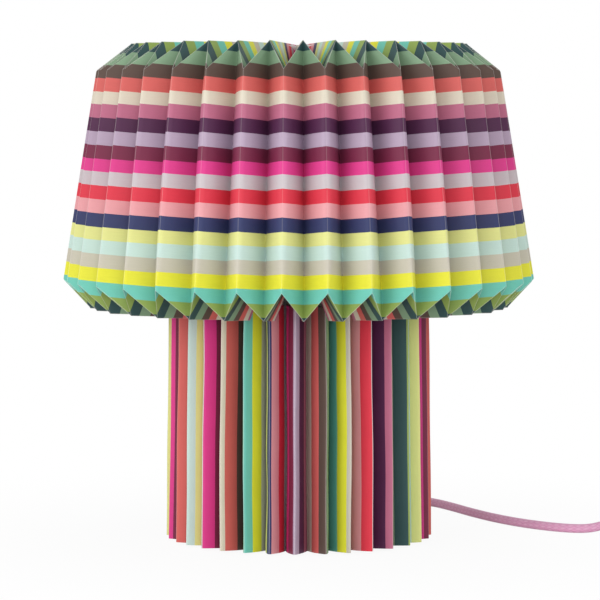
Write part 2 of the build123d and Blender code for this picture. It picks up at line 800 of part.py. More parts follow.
with BuildPart() as clamp_screws:
    for hole in clamp_holes:
        with BuildSketch(exit_plane.offset(plate_top + clamp_thickness)):
            with Locations(hole):
                Circle(small_head_radius)
        extrude(amount=small_head_height)
        with BuildSketch(exit_plane.offset(plate_top + clamp_thickness)):
            with Locations(hole):
                Circle(small_screw_radius - thread_gap)
        extrude(amount=-clamp_thickness - clamp_screw_bite)
clamp_screws.part.label = "clamp_screws"
export_step(clamp_screws.part, "parts/clamp_screws.step")

# ---------------------------------------------------------------- cord: in view, from the grip to the switch
switch_axis_level = switch_height / 2
switch_x, switch_y = switch_start
cord_near_points = [
    at(grip_end, exit_angle, channel_level),
    at(grip_end + exit_run, exit_angle, channel_level),
    (26.8, 136.5, 4.4),
    (40.0, 154.0, cord_level),
    (60.0, 163.0, cord_level),
    (82.0, 161.0, cord_level),
    (101.0, 149.0, cord_level),
    (115.0, 125.0, cord_level),
    (130.0, 93.0, cord_level),
    (147.0, 64.0, cord_level),
    (166.0, 41.5, cord_level),
    (190.0, 25.5, cord_level),
    (205.0, 21.8, 4.2),
    (switch_x - switch_run, switch_y, switch_axis_level),
    (switch_x, switch_y, switch_axis_level),
]
with BuildPart() as cord_near:
    with BuildLine() as near_line:
        FilletPolyline(*cord_near_points, radius=bend_radii(cord_near_points))
    with BuildSketch(Plane(origin=near_line.line @ 0, z_dir=near_line.line % 0)):
        Circle(cord_radius)
    sweep()
cord_near.part.label = "cord_near"
export_step(cord_near.part, "parts/cord_near.step")
say_radii("cord_near", cord_near_points)

# ---------------------------------------------------------------- coil of the put-away length
coil_level = floor_gap + tie_thickness + tie_gap + cord_radius
coil_x, coil_y = coil_centre
coil_inner_radius = coil_outer_radius - coil_pitch * coil_turns_in
coil_turns_out_from = coil_turns_in + coil_climb_turns


def coil_state(turn):
    """Point and direction of the coil's middle line after a number of turns."""
    angle = 2 * pi * turn
    climbed = min(max((turn - coil_turns_in) / coil_climb_turns, 0), 1)
    if turn <= coil_turns_in:
        radius, growth = coil_outer_radius - coil_pitch * turn, -coil_pitch
    elif turn >= coil_turns_out_from:
        radius, growth = coil_inner_radius + coil_pitch * (turn - coil_turns_out_from), coil_pitch
    else:
        radius = coil_inner_radius - coil_pitch * coil_climb_turns * (climbed - climbed**2)
        growth = coil_pitch * (2 * climbed - 1)
    level = coil_level + coil_layer_rise * (climbed - sin(2 * pi * climbed) / (2 * pi))
    rise = coil_layer_rise / coil_climb_turns * (1 - cos(2 * pi * climbed))
    point = Vector(coil_x + radius * cos(angle), coil_y + radius * sin(angle), level)
    around = 2 * pi * radius
    direction = Vector(
        growth * cos(angle) - around * sin(angle), growth * sin(angle) + around * cos(angle), rise
    )
    return point, direction.normalized()


def biarc_middle(start, start_direction, end, end_direction):
    """Where two arcs meet that lead smoothly from one point to the next, and the direction there."""
    chord = end - start
    both = start_direction + end_direction
    open_turn = 2 * (1 - start_direction.dot(end_direction))
    reach = (sqrt(chord.dot(both) ** 2 + open_turn * chord.dot(chord)) - chord.dot(both)) / open_turn
    knee_a, knee_b = start + start_direction * reach, end - end_direction * reach
    return (knee_a + knee_b) * 0.5, (knee_b - knee_a).normalized()


coil_stops = [coil_state(step / 4) for step in range(round(4 * coil_turns) + 1)]
coil_begin = coil_stops[0][0] - coil_stops[0][1] * cord_diameter
coil_finish = coil_stops[-1][0] + coil_stops[-1][1] * cord_diameter
with BuildPart() as cord_coil:
    with BuildLine() as coil_line:
        Line(coil_begin, coil_stops[0][0])
        for (start, start_way), (end, end_way) in zip(coil_stops, coil_stops[1:]):
            middle, middle_way = biarc_middle(start, start_way, end, end_way)
            TangentArc(start, middle, tangent=start_way)
            TangentArc(middle, end, tangent=middle_way)
        Line(coil_stops[-1][0], coil_finish)
    with BuildSketch(Plane(origin=coil_begin, z_dir=coil_stops[0][1])):
        Circle(cord_radius)
    sweep()
cord_coil.part.label = "cord_coil"
export_step(cord_coil.part, "parts/cord_coil.step")

coil_wire = coil_line.wires()[0]
coil_length = coil_wire.length
coil_stations = 600
coil_samples = [coil_wire @ (step / coil_stations) for step in range(coil_stations + 1)]
apart = int(coil_stations * pi * coil_inner_radius / coil_length)  # half the innermost turn
least_gap = min(
    (one - other).length
    for index, one in enumerate(coil_samples)
    for other in coil_samples[index + apart :]
) - cord_diameter
print("coil length", round(coil_length, 1), "least gap to itself", round(least_gap, 2))
print("coil volume over section times length", cord_coil.part.volume / (pi * cord_radius**2 * coil_length))

tie_near = coil_outer_radius - coil_pitch * tie_turns[1] - cord_radius - tie_ease
tie_far = coil_outer_radius - coil_pitch * tie_turns[0] + cord_radius + tie_ease
tie_low = coil_level - cord_radius - tie_gap
tie_high = coil_level + coil_layer_rise + cord_radius + tie_gap
tie_middle = (coil_x - (tie_near + tie_far) / 2, (tie_low + tie_high) / 2)
with BuildPart() as coil_tie:
    with BuildSketch(Plane.XZ.offset(-coil_y)):
        with Locations(tie_middle):
            RectangleRounded(
                tie_far - tie_near + 2 * tie_thickness, tie_high - tie_low + 2 * tie_thickness, tie_corner
            )
            Rectangle(tie_far - tie_near, tie_high - tie_low, mode=Mode.SUBTRACT)
    extrude(amount=tie_width / 2, both=True)
coil_tie.part.label = "coil_tie"
export_step(coil_tie.part, "parts/coil_tie.step")

# ---------------------------------------------------------------- cord: from the switch to the coil
switch_end_x = switch_x + switch_length
before_coil = coil_begin - coil_stops[0][1] * coil_run
cord_middle_points = [
    (switch_end_x, switch_y, switch_axis_level),
    (switch_end_x + switch_run, switch_y, switch_axis_level),
    (322.0, 25.5, 5.2),
    (335.5, 36.5, coil_level),
    (342.5, 50.0, coil_level),
    (before_coil.X, before_coil.Y, coil_level),
    (coil_begin.X, coil_begin.Y, coil_level),
]
with BuildPart() as cord_middle:
    with BuildLine() as middle_line:
        FilletPolyline(*cord_middle_points, radius=bend_radii(cord_middle_points))
    with BuildSketch(Plane(origin=middle_line.line @ 0, z_dir=middle_line.line % 0)):
        Circle(cord_radius)
    sweep()
cord_middle.part.label = "cord_middle"
export_step(cord_middle.part, "parts/cord_middle.step")
say_radii("cord_middle", cord_middle_points)

# ---------------------------------------------------------------- cord: from the coil to the plug
plug_level = plug_thickness / 2 + floor_gap
plug_x, plug_y = plug_start
after_coil = coil_finish + coil_stops[-1][1] * coil_run_out
cord_end_points = [
    tuple(coil_finish),
    tuple(after_coil),
    (343.0, 112.0, 9.3),
    (342.0, 122.5, plug_level),
    (plug_x, plug_y, plug_level),
]
with BuildPart() as cord_end:
    with BuildLine() as end_line:
        FilletPolyline(*cord_end_points, radius=bend_radii(cord_end_points))
    with BuildSketch(Plane(origin=end_line.line @ 0, z_dir=end_line.line % 0)):
        Circle(cord_radius)
    sweep()
cord_end.part.label = "cord_end"
export_step(cord_end.part, "parts/cord_end.step")
say_radii("cord_end", cord_end_points)

free_length = switch_length + coil_length
free_length += sum(line.wires()[0].length for line in (near_line, middle_line, end_line))
print("free cord length", round(free_length, 1), "inner lead", round(lead_line.wires()[0].length, 1))

# ---------------------------------------------------------------- plug
plug_plane = Plane(origin=(plug_x, plug_y, plug_level), x_dir=(1, 0, 0), z_dir=(0, 1, 0))
with BuildPart() as plug_boot:
    with BuildSketch(plug_plane):
        Circle(cord_radius + plug_boot_lip)
    with BuildSketch(plug_plane.offset(plug_boot_length)):
        Circle(plug_boot_radius)
    loft()
plug_boot.part.label = "plug_boot"
export_step(plug_boot.part, "parts/plug_boot.step")

with BuildPart() as plug_body:
    with BuildSketch(plug_plane.offset(plug_boot_length)):
        RectangleRounded(plug_neck_width, plug_neck_thickness, plug_neck_thickness / 2 - plug_flat)
    with BuildSketch(plug_plane.offset(plug_boot_length + plug_length / 2)):
        RectangleRounded(plug_waist_width, plug_thickness - plug_flat, plug_thickness / 2 - 2 * plug_flat)
    with BuildSketch(plug_plane.offset(plug_boot_length + plug_length)):
        RectangleRounded(plug_width, plug_thickness, plug_thickness / 2 - plug_flat)
    loft()
plug_body.part.label = "plug_body"
export_step(plug_body.part, "parts/plug_body.step")

with BuildPart() as plug_pins:
    with BuildSketch(plug_plane.offset(plug_boot_length + plug_length)):
        with Locations((-pin_spacing / 2, 0), (pin_spacing / 2, 0)):
            Circle(pin_radius)
    extrude(amount=pin_length)
    fillet(plug_pins.faces().sort_by(Axis.Y)[-2:].edges(), pin_round)
plug_pins.part.label = "plug_pins"
export_step(plug_pins.part, "parts/plug_pins.step")
pin_start = plug_y + plug_boot_length + plug_length
print("pin mounts at", [plug_x - pin_spacing / 2, plug_x + pin_spacing / 2], pin_start)

# ---------------------------------------------------------------- in-line switch
switch_middle_x = switch_x + switch_length / 2
rocker_axis_level = switch_height - rocker_axis_drop
screw_x = switch_length / 2 - switch_end / 2
switch_screw_spots = [(switch_middle_x - screw_x, switch_y + switch_screw_side)]
switch_screw_spots.append((switch_middle_x + screw_x, switch_y - switch_screw_side))

with BuildPart() as switch_lower:
    with BuildSketch(Plane.XY.offset(floor_gap)):
        with Locations((switch_middle_x, switch_y)):
            RectangleRounded(switch_length, switch_width, switch_corner)
    extrude(amount=switch_axis_level - floor_gap)
    fillet(switch_lower.faces().sort_by(Axis.Z)[0].edges(), switch_low_fillet)
    with BuildSketch(Plane.XY.offset(floor_gap + switch_wall)):
        with Locations((switch_middle_x, switch_y)):
            Rectangle(switch_length - 2 * switch_end, switch_width - 2 * switch_wall)
    extrude(amount=switch_height, mode=Mode.SUBTRACT)
    with BuildSketch(Plane.XY.offset(floor_gap)):
        with Locations(*switch_screw_spots):
            Circle(small_screw_radius + thread_gap)
    extrude(amount=switch_height, mode=Mode.SUBTRACT)
    with BuildSketch(Plane.XY.offset(floor_gap)):
        with Locations(*switch_screw_spots):
            Circle(small_head_radius + thread_gap)
    extrude(amount=small_head_height + seat_gap, mode=Mode.SUBTRACT)
switch_lower.part.label = "switch_lower"
export_step(switch_lower.part, "parts/switch_lower.step")

cavity_height = switch_height - switch_wall - switch_axis_level
with BuildPart() as switch_upper:
    with BuildSketch(Plane.XY.offset(switch_axis_level)):
        with Locations((switch_middle_x, switch_y)):
            RectangleRounded(switch_length, switch_width, switch_corner)
    extrude(amount=switch_height - switch_axis_level)
    fillet(switch_upper.faces().sort_by(Axis.Z)[-1].edges(), switch_top_fillet)
    with BuildSketch(Plane.XY.offset(switch_axis_level)):
        with Locations((switch_middle_x, switch_y)):
            Rectangle(switch_length - 2 * switch_end, switch_width - 2 * switch_wall)
    extrude(amount=cavity_height, mode=Mode.SUBTRACT)
    # ears that hold the rocker's pin under the window's long sides
    with BuildSketch(Plane.XY.offset(switch_height - switch_wall)):
        for side in (-1, 1):
            ear_y = switch_y + side * (rocker_width / 2 + rocker_gap + ear_thickness / 2)
            with Locations((switch_middle_x, ear_y)):
                Rectangle(ear_length, ear_thickness)
    extrude(amount=-(cavity_height - ear_gap))
    with BuildSketch(Plane.XY.offset(switch_axis_level)):
        with Locations((switch_middle_x, switch_y)):
            Rectangle(rocker_length + 2 * rocker_gap, rocker_width + 2 * rocker_gap)
        with Locations(*switch_screw_spots):
            Circle(small_screw_radius - thread_gap)
    extrude(amount=switch_height - switch_axis_level - switch_wall, mode=Mode.SUBTRACT)
    with BuildSketch(Plane.XY.offset(switch_height - switch_wall)):
        with Locations((switch_middle_x, switch_y)):
            Rectangle(rocker_length + 2 * rocker_gap, rocker_width + 2 * rocker_gap)
    extrude(amount=switch_wall, mode=Mode.SUBTRACT)
    with BuildSketch(Plane.XZ.offset(-switch_y)):
        with Locations((switch_middle_x, rocker_axis_level)):
            Circle(rocker_pin_radius + pin_seat_gap)
    extrude(amount=rocker_pin_length / 2, both=True, mode=Mode.SUBTRACT)
switch_upper.part.label = "switch_upper"
export_step(switch_upper.part, "parts/switch_upper.step")

# The rocker's two sloping faces meet over the pin, and it rests with its left end pressed down.
rocker_half = rocker_length / 2
rocker_crown_level = rocker_axis_level + rocker_crown
rocker_end_level = rocker_crown_level + rocker_half * tan(radians(rocker_swing))
rocker_plane = Plane.XZ.offset(-switch_y)
rocker_turn = Axis((switch_middle_x, switch_y, rocker_axis_level), (0, 1, 0))
with BuildPart() as neutral_rocker:
    with BuildSketch(rocker_plane):
        with BuildLine():
            Polyline(
                (switch_middle_x - rocker_half, rocker_end_level),
                (switch_middle_x, rocker_crown_level),
                (switch_middle_x + rocker_half, rocker_end_level),
                (switch_middle_x + rocker_half, rocker_axis_level),
                (switch_middle_x + rocker_foot, rocker_axis_level - rocker_depth),
                (switch_middle_x - rocker_foot, rocker_axis_level - rocker_depth),
                (switch_middle_x - rocker_half, rocker_axis_level),
                close=True,
            )
        make_face()
    extrude(amount=rocker_width / 2, both=True)
    with BuildSketch(rocker_plane):
        with Locations((switch_middle_x, rocker_axis_level)):
            Circle(rocker_pin_radius + rocker_pin_gap)
    extrude(amount=rocker_width / 2, both=True, mode=Mode.SUBTRACT)
with BuildPart() as rocker:
    add(neutral_rocker.part.rotate(rocker_turn, -rocker_swing))
rocker.part.label = "rocker"
export_step(rocker.part, "parts/rocker.step")
print("rocker axis", switch_middle_x, switch_y, rocker_axis_level)

with BuildPart() as rocker_pin:
    with BuildSketch(rocker_plane):
        with Locations((switch_middle_x, rocker_axis_level)):
            Circle(rocker_pin_radius)
    extrude(amount=rocker_pin_length / 2 - pin_seat_gap, both=True)
rocker_pin.part.label = "rocker_pin"
export_step(rocker_pin.part, "parts/rocker_pin.step")

with BuildPart() as switch_terminals:
    with BuildSketch(Plane.XY.offset(floor_gap + switch_wall)):
        for side in (-1, 1):
            with Locations((switch_middle_x + side * terminal_spread, switch_y)):
                Rectangle(terminal_length, terminal_width)
    extrude(amount=terminal_height)
switch_terminals.part.label = "switch_terminals"
export_step(switch_terminals.part, "parts/switch_terminals.step")

with BuildPart() as switch_screws:
    for spot in switch_screw_spots:
        with BuildSketch(Plane.XY.offset(floor_gap + seat_gap)):
            with Locations(spot):
                Circle(small_head_radius)
        extrude(amount=small_head_height)
        with BuildSketch(Plane.XY.offset(floor_gap + seat_gap + small_head_height)):
            with Locations(spot):
                Circle(small_screw_radius - 2 * thread_gap)
        extrude(amount=switch_screw_length)
switch_screws.part.label = "switch_screws"
export_step(switch_screws.part, "parts/switch_screws.step")
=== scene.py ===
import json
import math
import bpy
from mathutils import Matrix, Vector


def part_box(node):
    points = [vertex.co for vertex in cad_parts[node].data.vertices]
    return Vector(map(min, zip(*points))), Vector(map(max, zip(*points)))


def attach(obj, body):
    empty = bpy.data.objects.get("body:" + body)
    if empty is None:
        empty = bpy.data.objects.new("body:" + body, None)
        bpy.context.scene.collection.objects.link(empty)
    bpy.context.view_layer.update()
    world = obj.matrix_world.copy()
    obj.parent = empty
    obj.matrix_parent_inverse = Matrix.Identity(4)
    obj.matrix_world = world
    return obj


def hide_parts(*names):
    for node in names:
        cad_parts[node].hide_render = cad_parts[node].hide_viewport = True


bl_info = {
    "name": "Pleated Paper Table Lamp",
    "version": (1, 0, 0),
    "blender": (4, 5, 0),
    "location": "View3D > Sidebar > Lamp",
    "description": "Dresses the frame of a pleated paper table lamp, piece by piece",
    "category": "Add Mesh",
}

from functools import partialmethod

import bpy
import numpy as np
from bpy.props import FloatProperty, FloatVectorProperty, IntProperty, PointerProperty
from mathutils import Vector, noise

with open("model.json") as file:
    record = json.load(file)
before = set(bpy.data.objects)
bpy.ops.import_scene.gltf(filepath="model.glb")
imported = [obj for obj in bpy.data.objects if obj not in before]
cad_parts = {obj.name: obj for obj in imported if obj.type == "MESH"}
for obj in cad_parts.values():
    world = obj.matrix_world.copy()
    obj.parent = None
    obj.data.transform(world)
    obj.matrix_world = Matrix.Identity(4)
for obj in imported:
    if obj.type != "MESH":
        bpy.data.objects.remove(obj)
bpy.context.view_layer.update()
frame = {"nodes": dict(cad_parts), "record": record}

MM = 0.001
SLOTS = {part["node"]: part["material_slot"] for part in frame["record"]["subparts"]}
SHADE_NODES = sorted(node for node in frame["nodes"] if node.startswith("paper_shade"))
shade_top = max(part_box(node)[1].z for node in SHADE_NODES)
shade_low = min(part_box(node)[0].z for node in SHADE_NODES)
sleeve_low, sleeve_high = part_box("paper_sleeve")


# ---------------- settings
def linear(code):
    """Scene-linear colour of a display colour written as 0xRRGGBB."""
    parts = ((code >> shift & 255) / 255 for shift in (16, 8, 0))
    return tuple(p / 12.92 if p <= 0.04045 else ((p + 0.055) / 1.055) ** 2.4 for p in parts)


def colour(name, use, code):
    """A colour that a user can change."""
    return FloatVectorProperty(
        name=name, description=use, subtype="COLOR", size=3, min=0, max=1, default=linear(code)
    )


def length(name, use, millimetres):
    """A length that a user can change."""
    return FloatProperty(name=name, description=use, default=millimetres * MM, unit="LENGTH", precision=5)


def turn(name, use, degrees):
    """An angle that a user can change. Round the lamp it counts from +X towards +Y, or from the front."""
    return FloatProperty(name=name, description=use, default=math.radians(degrees), unit="ROTATION")


def number(name, use, default):
    """A plain number that a user can change."""
    return FloatProperty(name=name, description=use, default=default)


def count(name, use, default):
    """A whole number of 4 or more that a user can change."""
    return IntProperty(name=name, description=use, default=default, min=4)


# The printed stripes in the order of their repeat, from dark teal down to olive.
STRIPES = {
    "dark_teal": 0x2F4F50,
    "sage": 0x86A585,
    "dark_brown": 0x5C4A42,
    "coral": 0xD96762,
    "cream": 0xDDD4C1,
    "mauve": 0xBD6C88,
    "purple": 0x512549,
    "lilac": 0xB7A3B9,
    "burgundy": 0x7A2A48,
    "hot_pink": 0xDF3F8E,
    "pinkish_grey": 0xCAC0C4,
    "red": 0xDE3A4C,
    "salmon": 0xE8A2A7,
    "navy": 0x343B66,
    "lime": 0xE2E390,
    "aqua": 0xC7E0D8,
    "beige": 0xC9C3B3,
    "yellow": 0xE9E53C,
    "turquoise": 0x72C9B9,
    "olive": 0x93AA56,
}


class PrintSettings(bpy.types.PropertyGroup):
    """Width and colours of the printed stripes."""

    stripe: length("Stripe", "Width of each printed stripe", 9.3)
    worn: colour("Worn fold", "Bare paper that shows along the folds", 0xF6F1EA)
    backing: colour("Backing", "White film behind the paper", 0xECEAE4)
    __annotations__.update({
        ink: colour(ink.replace("_", " ").capitalize(), "Printed stripe", code)
        for ink, code in STRIPES.items()
    })


class ShadeSettings(bpy.types.PropertyGroup):
    """Folded shade: each fold runs from the hub over an upper and a lower crease to the neck."""

    pleats: count("Pleats", "Outer folds round the shade", 35)
    strip: length("Strip", "Paper between two neighbouring folds", 25.1)
    paper: length("Paper", "Thickness of the laminated paper", 0.5)
    first_ridge: turn("First ridge", "Angle of one outer fold", -93.87)
    spread: turn("Spread", "How far the folds at the front are spread to both sides at the top", 2.6)
    ridge_reach: number("Ridge reach", "Rounded share of a strip, outside", 0.45)
    crease_reach: number("Crease reach", "Rounded share of a strip elsewhere", 0.035)
    bulge: length("Bulge", "How far a strip of the wall swells outwards", 1.5)
    uneven: length("Unevenness", "How much more or less than that a strip swells", 0.9)
    stray_out: length("Stray outwards", "How far a fold strays in and out", 0.7)
    stray_up: length("Stray upwards", "How far a fold strays up and down", 0.45)
    stray_aside: length("Stray sideways", "How far a fold strays to its sides", 1.2)
    hub_radius: length("Hub radius", "Where the top folds end", 12)
    hub_high: length("Hub top", "Level of the upper folds at the hub", shade_top / MM - 1)
    hub_low: length("Hub underside", "Level of the lower folds at the hub", 322.9)
    top_ridge_radius: length("Top ridge radius", "Outer folds at the upper crease", 142.1)
    top_ridge_level: length("Top ridge level", "Outer folds at the upper crease", shade_top / MM - 19.3)
    top_valley_radius: length("Top valley radius", "Inner folds at the upper crease", 117.9)
    bottom_ridge_radius: length("Bottom ridge radius", "Outer folds at the lower crease", 165.7)
    bottom_ridge_level: length("Bottom ridge level", "Outer folds at the lower crease", 184.1)
    bottom_valley_radius: length("Bottom valley radius", "Inner folds at the lower crease", 147.7)
    bottom_valley_level: length("Bottom valley level", "Inner folds at the lower crease", 164.3)
    neck_radius: length("Neck radius", "Where the lower folds end", 99.4)
    neck_high: length("Neck top", "Level of the upper folds at the neck", 184.2)
    neck_low: length("Neck underside", "Level of the lower folds at the neck", shade_low / MM + 0.55)
    top_print: length("Top print", "From the coral stripe up to the crease, on an outer fold", 4.3)
    top_slant: length("Top slant", "How much higher the upper crease meets the inner folds", 21.9)
    bottom_slant: length("Bottom slant", "How much lower the lower crease meets the inner folds", 17.4)


class SleeveSettings(bpy.types.PropertyGroup):
    """Pleated sleeve of the base, whose stripes run upwards."""

    pleats: count("Pleats", "Outer folds round the sleeve", 35)
    strip: length("Strip", "Paper between two neighbouring folds", 26)
    seam: turn("Seam", "Where the sheet's two ends meet, from the front", -57.07)
    wide_pleat: turn("Wide pleat", "Where one pleat stands open, from the front", 4.64)
    opening: turn("Opening", "How far the folds on both sides of the wide pleat are shifted", 0.9)
    spread: turn("Spread", "How far the folds at the front are spread to both sides", 4)
    back_stretch: number("Back stretch", "Printed width of a strip at the back, against the front", 1.017)
    print_start: number("Print start", "Stripes passed at the seam", 38.5)
    paper: length("Paper", "Thickness of the laminated paper", 0.5)
    ridge_low: length("Ridge radius below", "Outer folds at the table", 94.3)
    ridge_high: length("Ridge radius above", "Outer folds at the top", 91.7)
    valley_low: length("Valley radius below", "Inner folds at the table", 69.3)
    valley_high: length("Valley radius above", "Inner folds at the top", 66.7)
    ridge_lift: length("Ridge lift", "How far the outer folds end above the table", 1.6)
    ridge_reach: number("Ridge reach", "Rounded share of a strip, outside", 0.08)
    valley_reach: number("Valley reach", "Rounded share of a strip, inside", 0.04)
    bulge: length("Bulge", "How far a strip swells outwards", 1.5)
    uneven: length("Unevenness", "How much more or less than that a strip swells", 0.7)
    stray_out: length("Stray outwards", "How far a fold strays in and out", 0.6)
    stray_aside: length("Stray sideways", "How far a fold strays to its sides", 0.9)
    stray_pitch: number("Stray of pitch", "How far folds stand nearer or further apart", 0.15)
    notch_width: length("Notch width", "Way out for the cord", 11)
    notch_height: length("Notch height", "Way out for the cord", 12.5)
    exit_angle: turn("Exit angle", "Where the cord leaves", 80)


class CordSettings(bpy.types.PropertyGroup):
    """Textile cord."""

    diameter: length("Diameter", "Across the textile sleeve", 6.3)
    strands: count("Strands", "Strands that wind round the braid each way", 8)
    lay: length("Lay", "Length of cord in which a strand moves on by its own width", 5.2)
    yarn: colour("Yarn", "Main yarn of the braid", 0xE199C1)
    light_yarn: colour("Light yarn", "Paler yarn of the braid", 0xF0C4DB)
    # The groove colour is painted shade in the recesses between the strands.
    groove_shade: colour("Grooves", "Between the strands", 0xC478A5)


class StudioSettings(bpy.types.PropertyGroup):
    """Camera and lights."""

    camera_aside: length("Camera aside", "To the right of the lamp's axis", 0.86)
    camera_distance: length("Camera distance", "From the lamp's axis", 1939)
    camera_height: length("Camera height", "Above the table", 304.4)
    camera_tilt: turn("Camera tilt", "Downwards", 4.01)
    lens: number("Lens", "Focal length in millimetres", 164.8)
    floor: colour("Floor", "Table and background", 0xF7F7F7)
    floor_size: length("Floor size", "Side of the floor, far past what the camera sees", 240000)
    shadow: number("Shadow", "Share of the floor's own light that the camera sees near the lamp", 0.07)
    shadow_near: length("Shadow from", "Up to here from the axis the shadow is full", 80)
    shadow_far: length("Shadow to", "From here on there is none", 420)
    sky: number("Sky", "Strength of the even light from all sides", 0.66)
    key: number("Key", "Power of the large lamp, front left", 13)
    front: number("Front", "Power of the lamp behind the camera", 8)
    fill: number("Fill", "Power of the large lamp, front right", 2)
    aim: length("Aim", "Level that the lamps point at", 180)


class LampSettings(bpy.types.PropertyGroup):
    """All settings of the lamp."""

    print: PointerProperty(type=PrintSettings)
    shade: PointerProperty(type=ShadeSettings)
    sleeve: PointerProperty(type=SleeveSettings)
    cord: PointerProperty(type=CordSettings)
    studio: PointerProperty(type=StudioSettings)


# ---------------- finishes
class Field:
    """A value that varies over a surface. Sums and products of fields add Math nodes."""

    def __init__(self, finish, socket):
        self.finish = finish
        self.socket = socket

    def maths(self, operation, *others):
        values = dict(enumerate((self, *others)))
        return self.finish.node("ShaderNodeMath", {"operation": operation}, values)

    __add__ = __radd__ = partialmethod(maths, "ADD")
    __sub__ = partialmethod(maths, "SUBTRACT")
    __mul__ = __rmul__ = partialmethod(maths, "MULTIPLY")
    __truediv__ = partialmethod(maths, "DIVIDE")
    __gt__ = partialmethod(maths, "GREATER_THAN")
    __lt__ = partialmethod(maths, "LESS_THAN")
    __abs__ = partialmethod(maths, "ABSOLUTE")
    fraction = partialmethod(maths, "FRACT")
    whole = partialmethod(maths, "FLOOR")
    sine = partialmethod(maths, "SINE")
    most = partialmethod(maths, "MAXIMUM")
    least = partialmethod(maths, "MINIMUM")

    def __rsub__(self, other):
        return self.finish.node("ShaderNodeMath", {"operation": "SUBTRACT"}, {0: other, 1: self})

    def from_whole(self):
        """Distance to the nearest whole number."""
        return abs((self + 0.5).fraction() - 0.5)

    def fade(self, near, far):
        """1 where the field is below near, 0 above far, and smooth between them."""
        ends = {"Value": self, "From Min": near, "From Max": far, "To Min": 1.0, "To Max": 0.0}
        return self.finish.node("ShaderNodeMapRange", {"interpolation_type": "SMOOTHSTEP"}, ends)


class Nodes:
    """The nodes of a material or a world. One method makes all but the output."""

    def __init__(self, owner, output):
        owner.use_nodes = True
        self.tree = owner.node_tree
        self.tree.nodes.clear()
        self.output = self.tree.nodes.new(output)

    def node(self, kind, settings=None, inputs=None, output=0):
        """Add a node: its settings come first, then the values or fields of its sockets."""
        made = self.tree.nodes.new(kind)
        for name, value in (settings or {}).items():
            if name == "stops":
                self.set_stops(made.color_ramp.elements, value)
            elif name == "steps":
                made.color_ramp.interpolation = value
            else:
                setattr(made, name, value)
        for key, value in (inputs or {}).items():
            socket = made.inputs[key]
            if isinstance(value, Field):
                self.tree.links.new(value.socket, socket)
            elif socket.type == "RGBA":
                socket.default_value = (*value, 1)
            else:
                socket.default_value = value
        return Field(self, made.outputs[output])

    def set_stops(self, elements, stops):
        """Give a ramp its stops, each a place and a colour."""
        while len(elements) < len(stops):
            elements.new(1.0)
        for element, (place, tint) in zip(elements, stops):
            element.position = place
            element.color = (*tint, 1)

    def show(self, shader):
        """Lead a shader to the output."""
        self.tree.links.new(shader.socket, self.output.inputs["Surface"])

    def backdrop_rays(self):
        """1 for rays that see the backdrop as such: from the camera, mirrored or through glass."""
        rays = ("Is Camera Ray", "Is Glossy Ray", "Is Transmission Ray")
        seen, mirrored, through = (self.node("ShaderNodeLightPath", output=ray) for ray in rays)
        return seen.most(mirrored).most(through)


class Finish(Nodes):
    """A material for one or more pieces."""

    def __init__(self, name):
        self.material = bpy.data.materials.new(name)
        super().__init__(self.material, "ShaderNodeOutputMaterial")

    def blend(self, share, one, two):
        """Colour one, or colour two where share is 1."""
        return self.node("ShaderNodeMix", {"data_type": "RGBA"}, {0: share, 6: one, 7: two}, 2)

    def tinted(self, tint, lightness):
        """A colour times a varying lightness."""
        grey = self.node("ShaderNodeCombineColor", {}, {0: lightness, 1: lightness, 2: lightness})
        settings = {"data_type": "RGBA", "blend_type": "MULTIPLY"}
        return self.node("ShaderNodeMix", settings, {0: 1.0, 6: tint, 7: grey}, 2)

    def place(self, scale=(1.0, 1.0, 1.0), flat=False):
        """Object or UV coordinates, in metres or sheet shares, times a scale."""
        if flat:
            source = self.node("ShaderNodeUVMap", {"uv_map": "Sheet"})
        else:
            source = self.node("ShaderNodeTexCoord", output="Object")
        return self.node("ShaderNodeVectorMath", {"operation": "MULTIPLY"}, {0: source, 1: scale})

    def part(self, vector, axis):
        """One component of a vector."""
        return self.node("ShaderNodeSeparateXYZ", {}, {0: vector}, axis)

    def noise(self, scale, detail, vector=None):
        """Soft noise from 0 to 1, over the piece's own coordinates where no others are given."""
        inputs = {"Vector": vector or self.place(), "Scale": scale, "Detail": detail}
        return self.node("ShaderNodeTexNoise", {}, inputs)

    def along_fibres(self, sheet, fibres):
        """Place on a sheet, drawn out along its fibres."""
        return self.node("ShaderNodeVectorMath", {"operation": "MULTIPLY"}, {0: sheet, 1: (*fibres, 1.0)})

    def bump(self, height, distance):
        """Normal of a surface raised by a height times a distance in metres."""
        return self.node("ShaderNodeBump", {}, {"Strength": 1.0, "Distance": distance, "Height": height})

    def surface(self, **inputs):
        """Finish with one Principled surface, whose inputs are named with _ for a space."""
        named = {key.replace("_", " "): value for key, value in inputs.items()}
        self.show(self.node("ShaderNodeBsdfPrincipled", {}, named))
        return self.material


# Fibres in a metre of paper, counted across the stripes and along them.
FIBRES_ACROSS = 1900.0
FIBRES_ALONG = 90.0


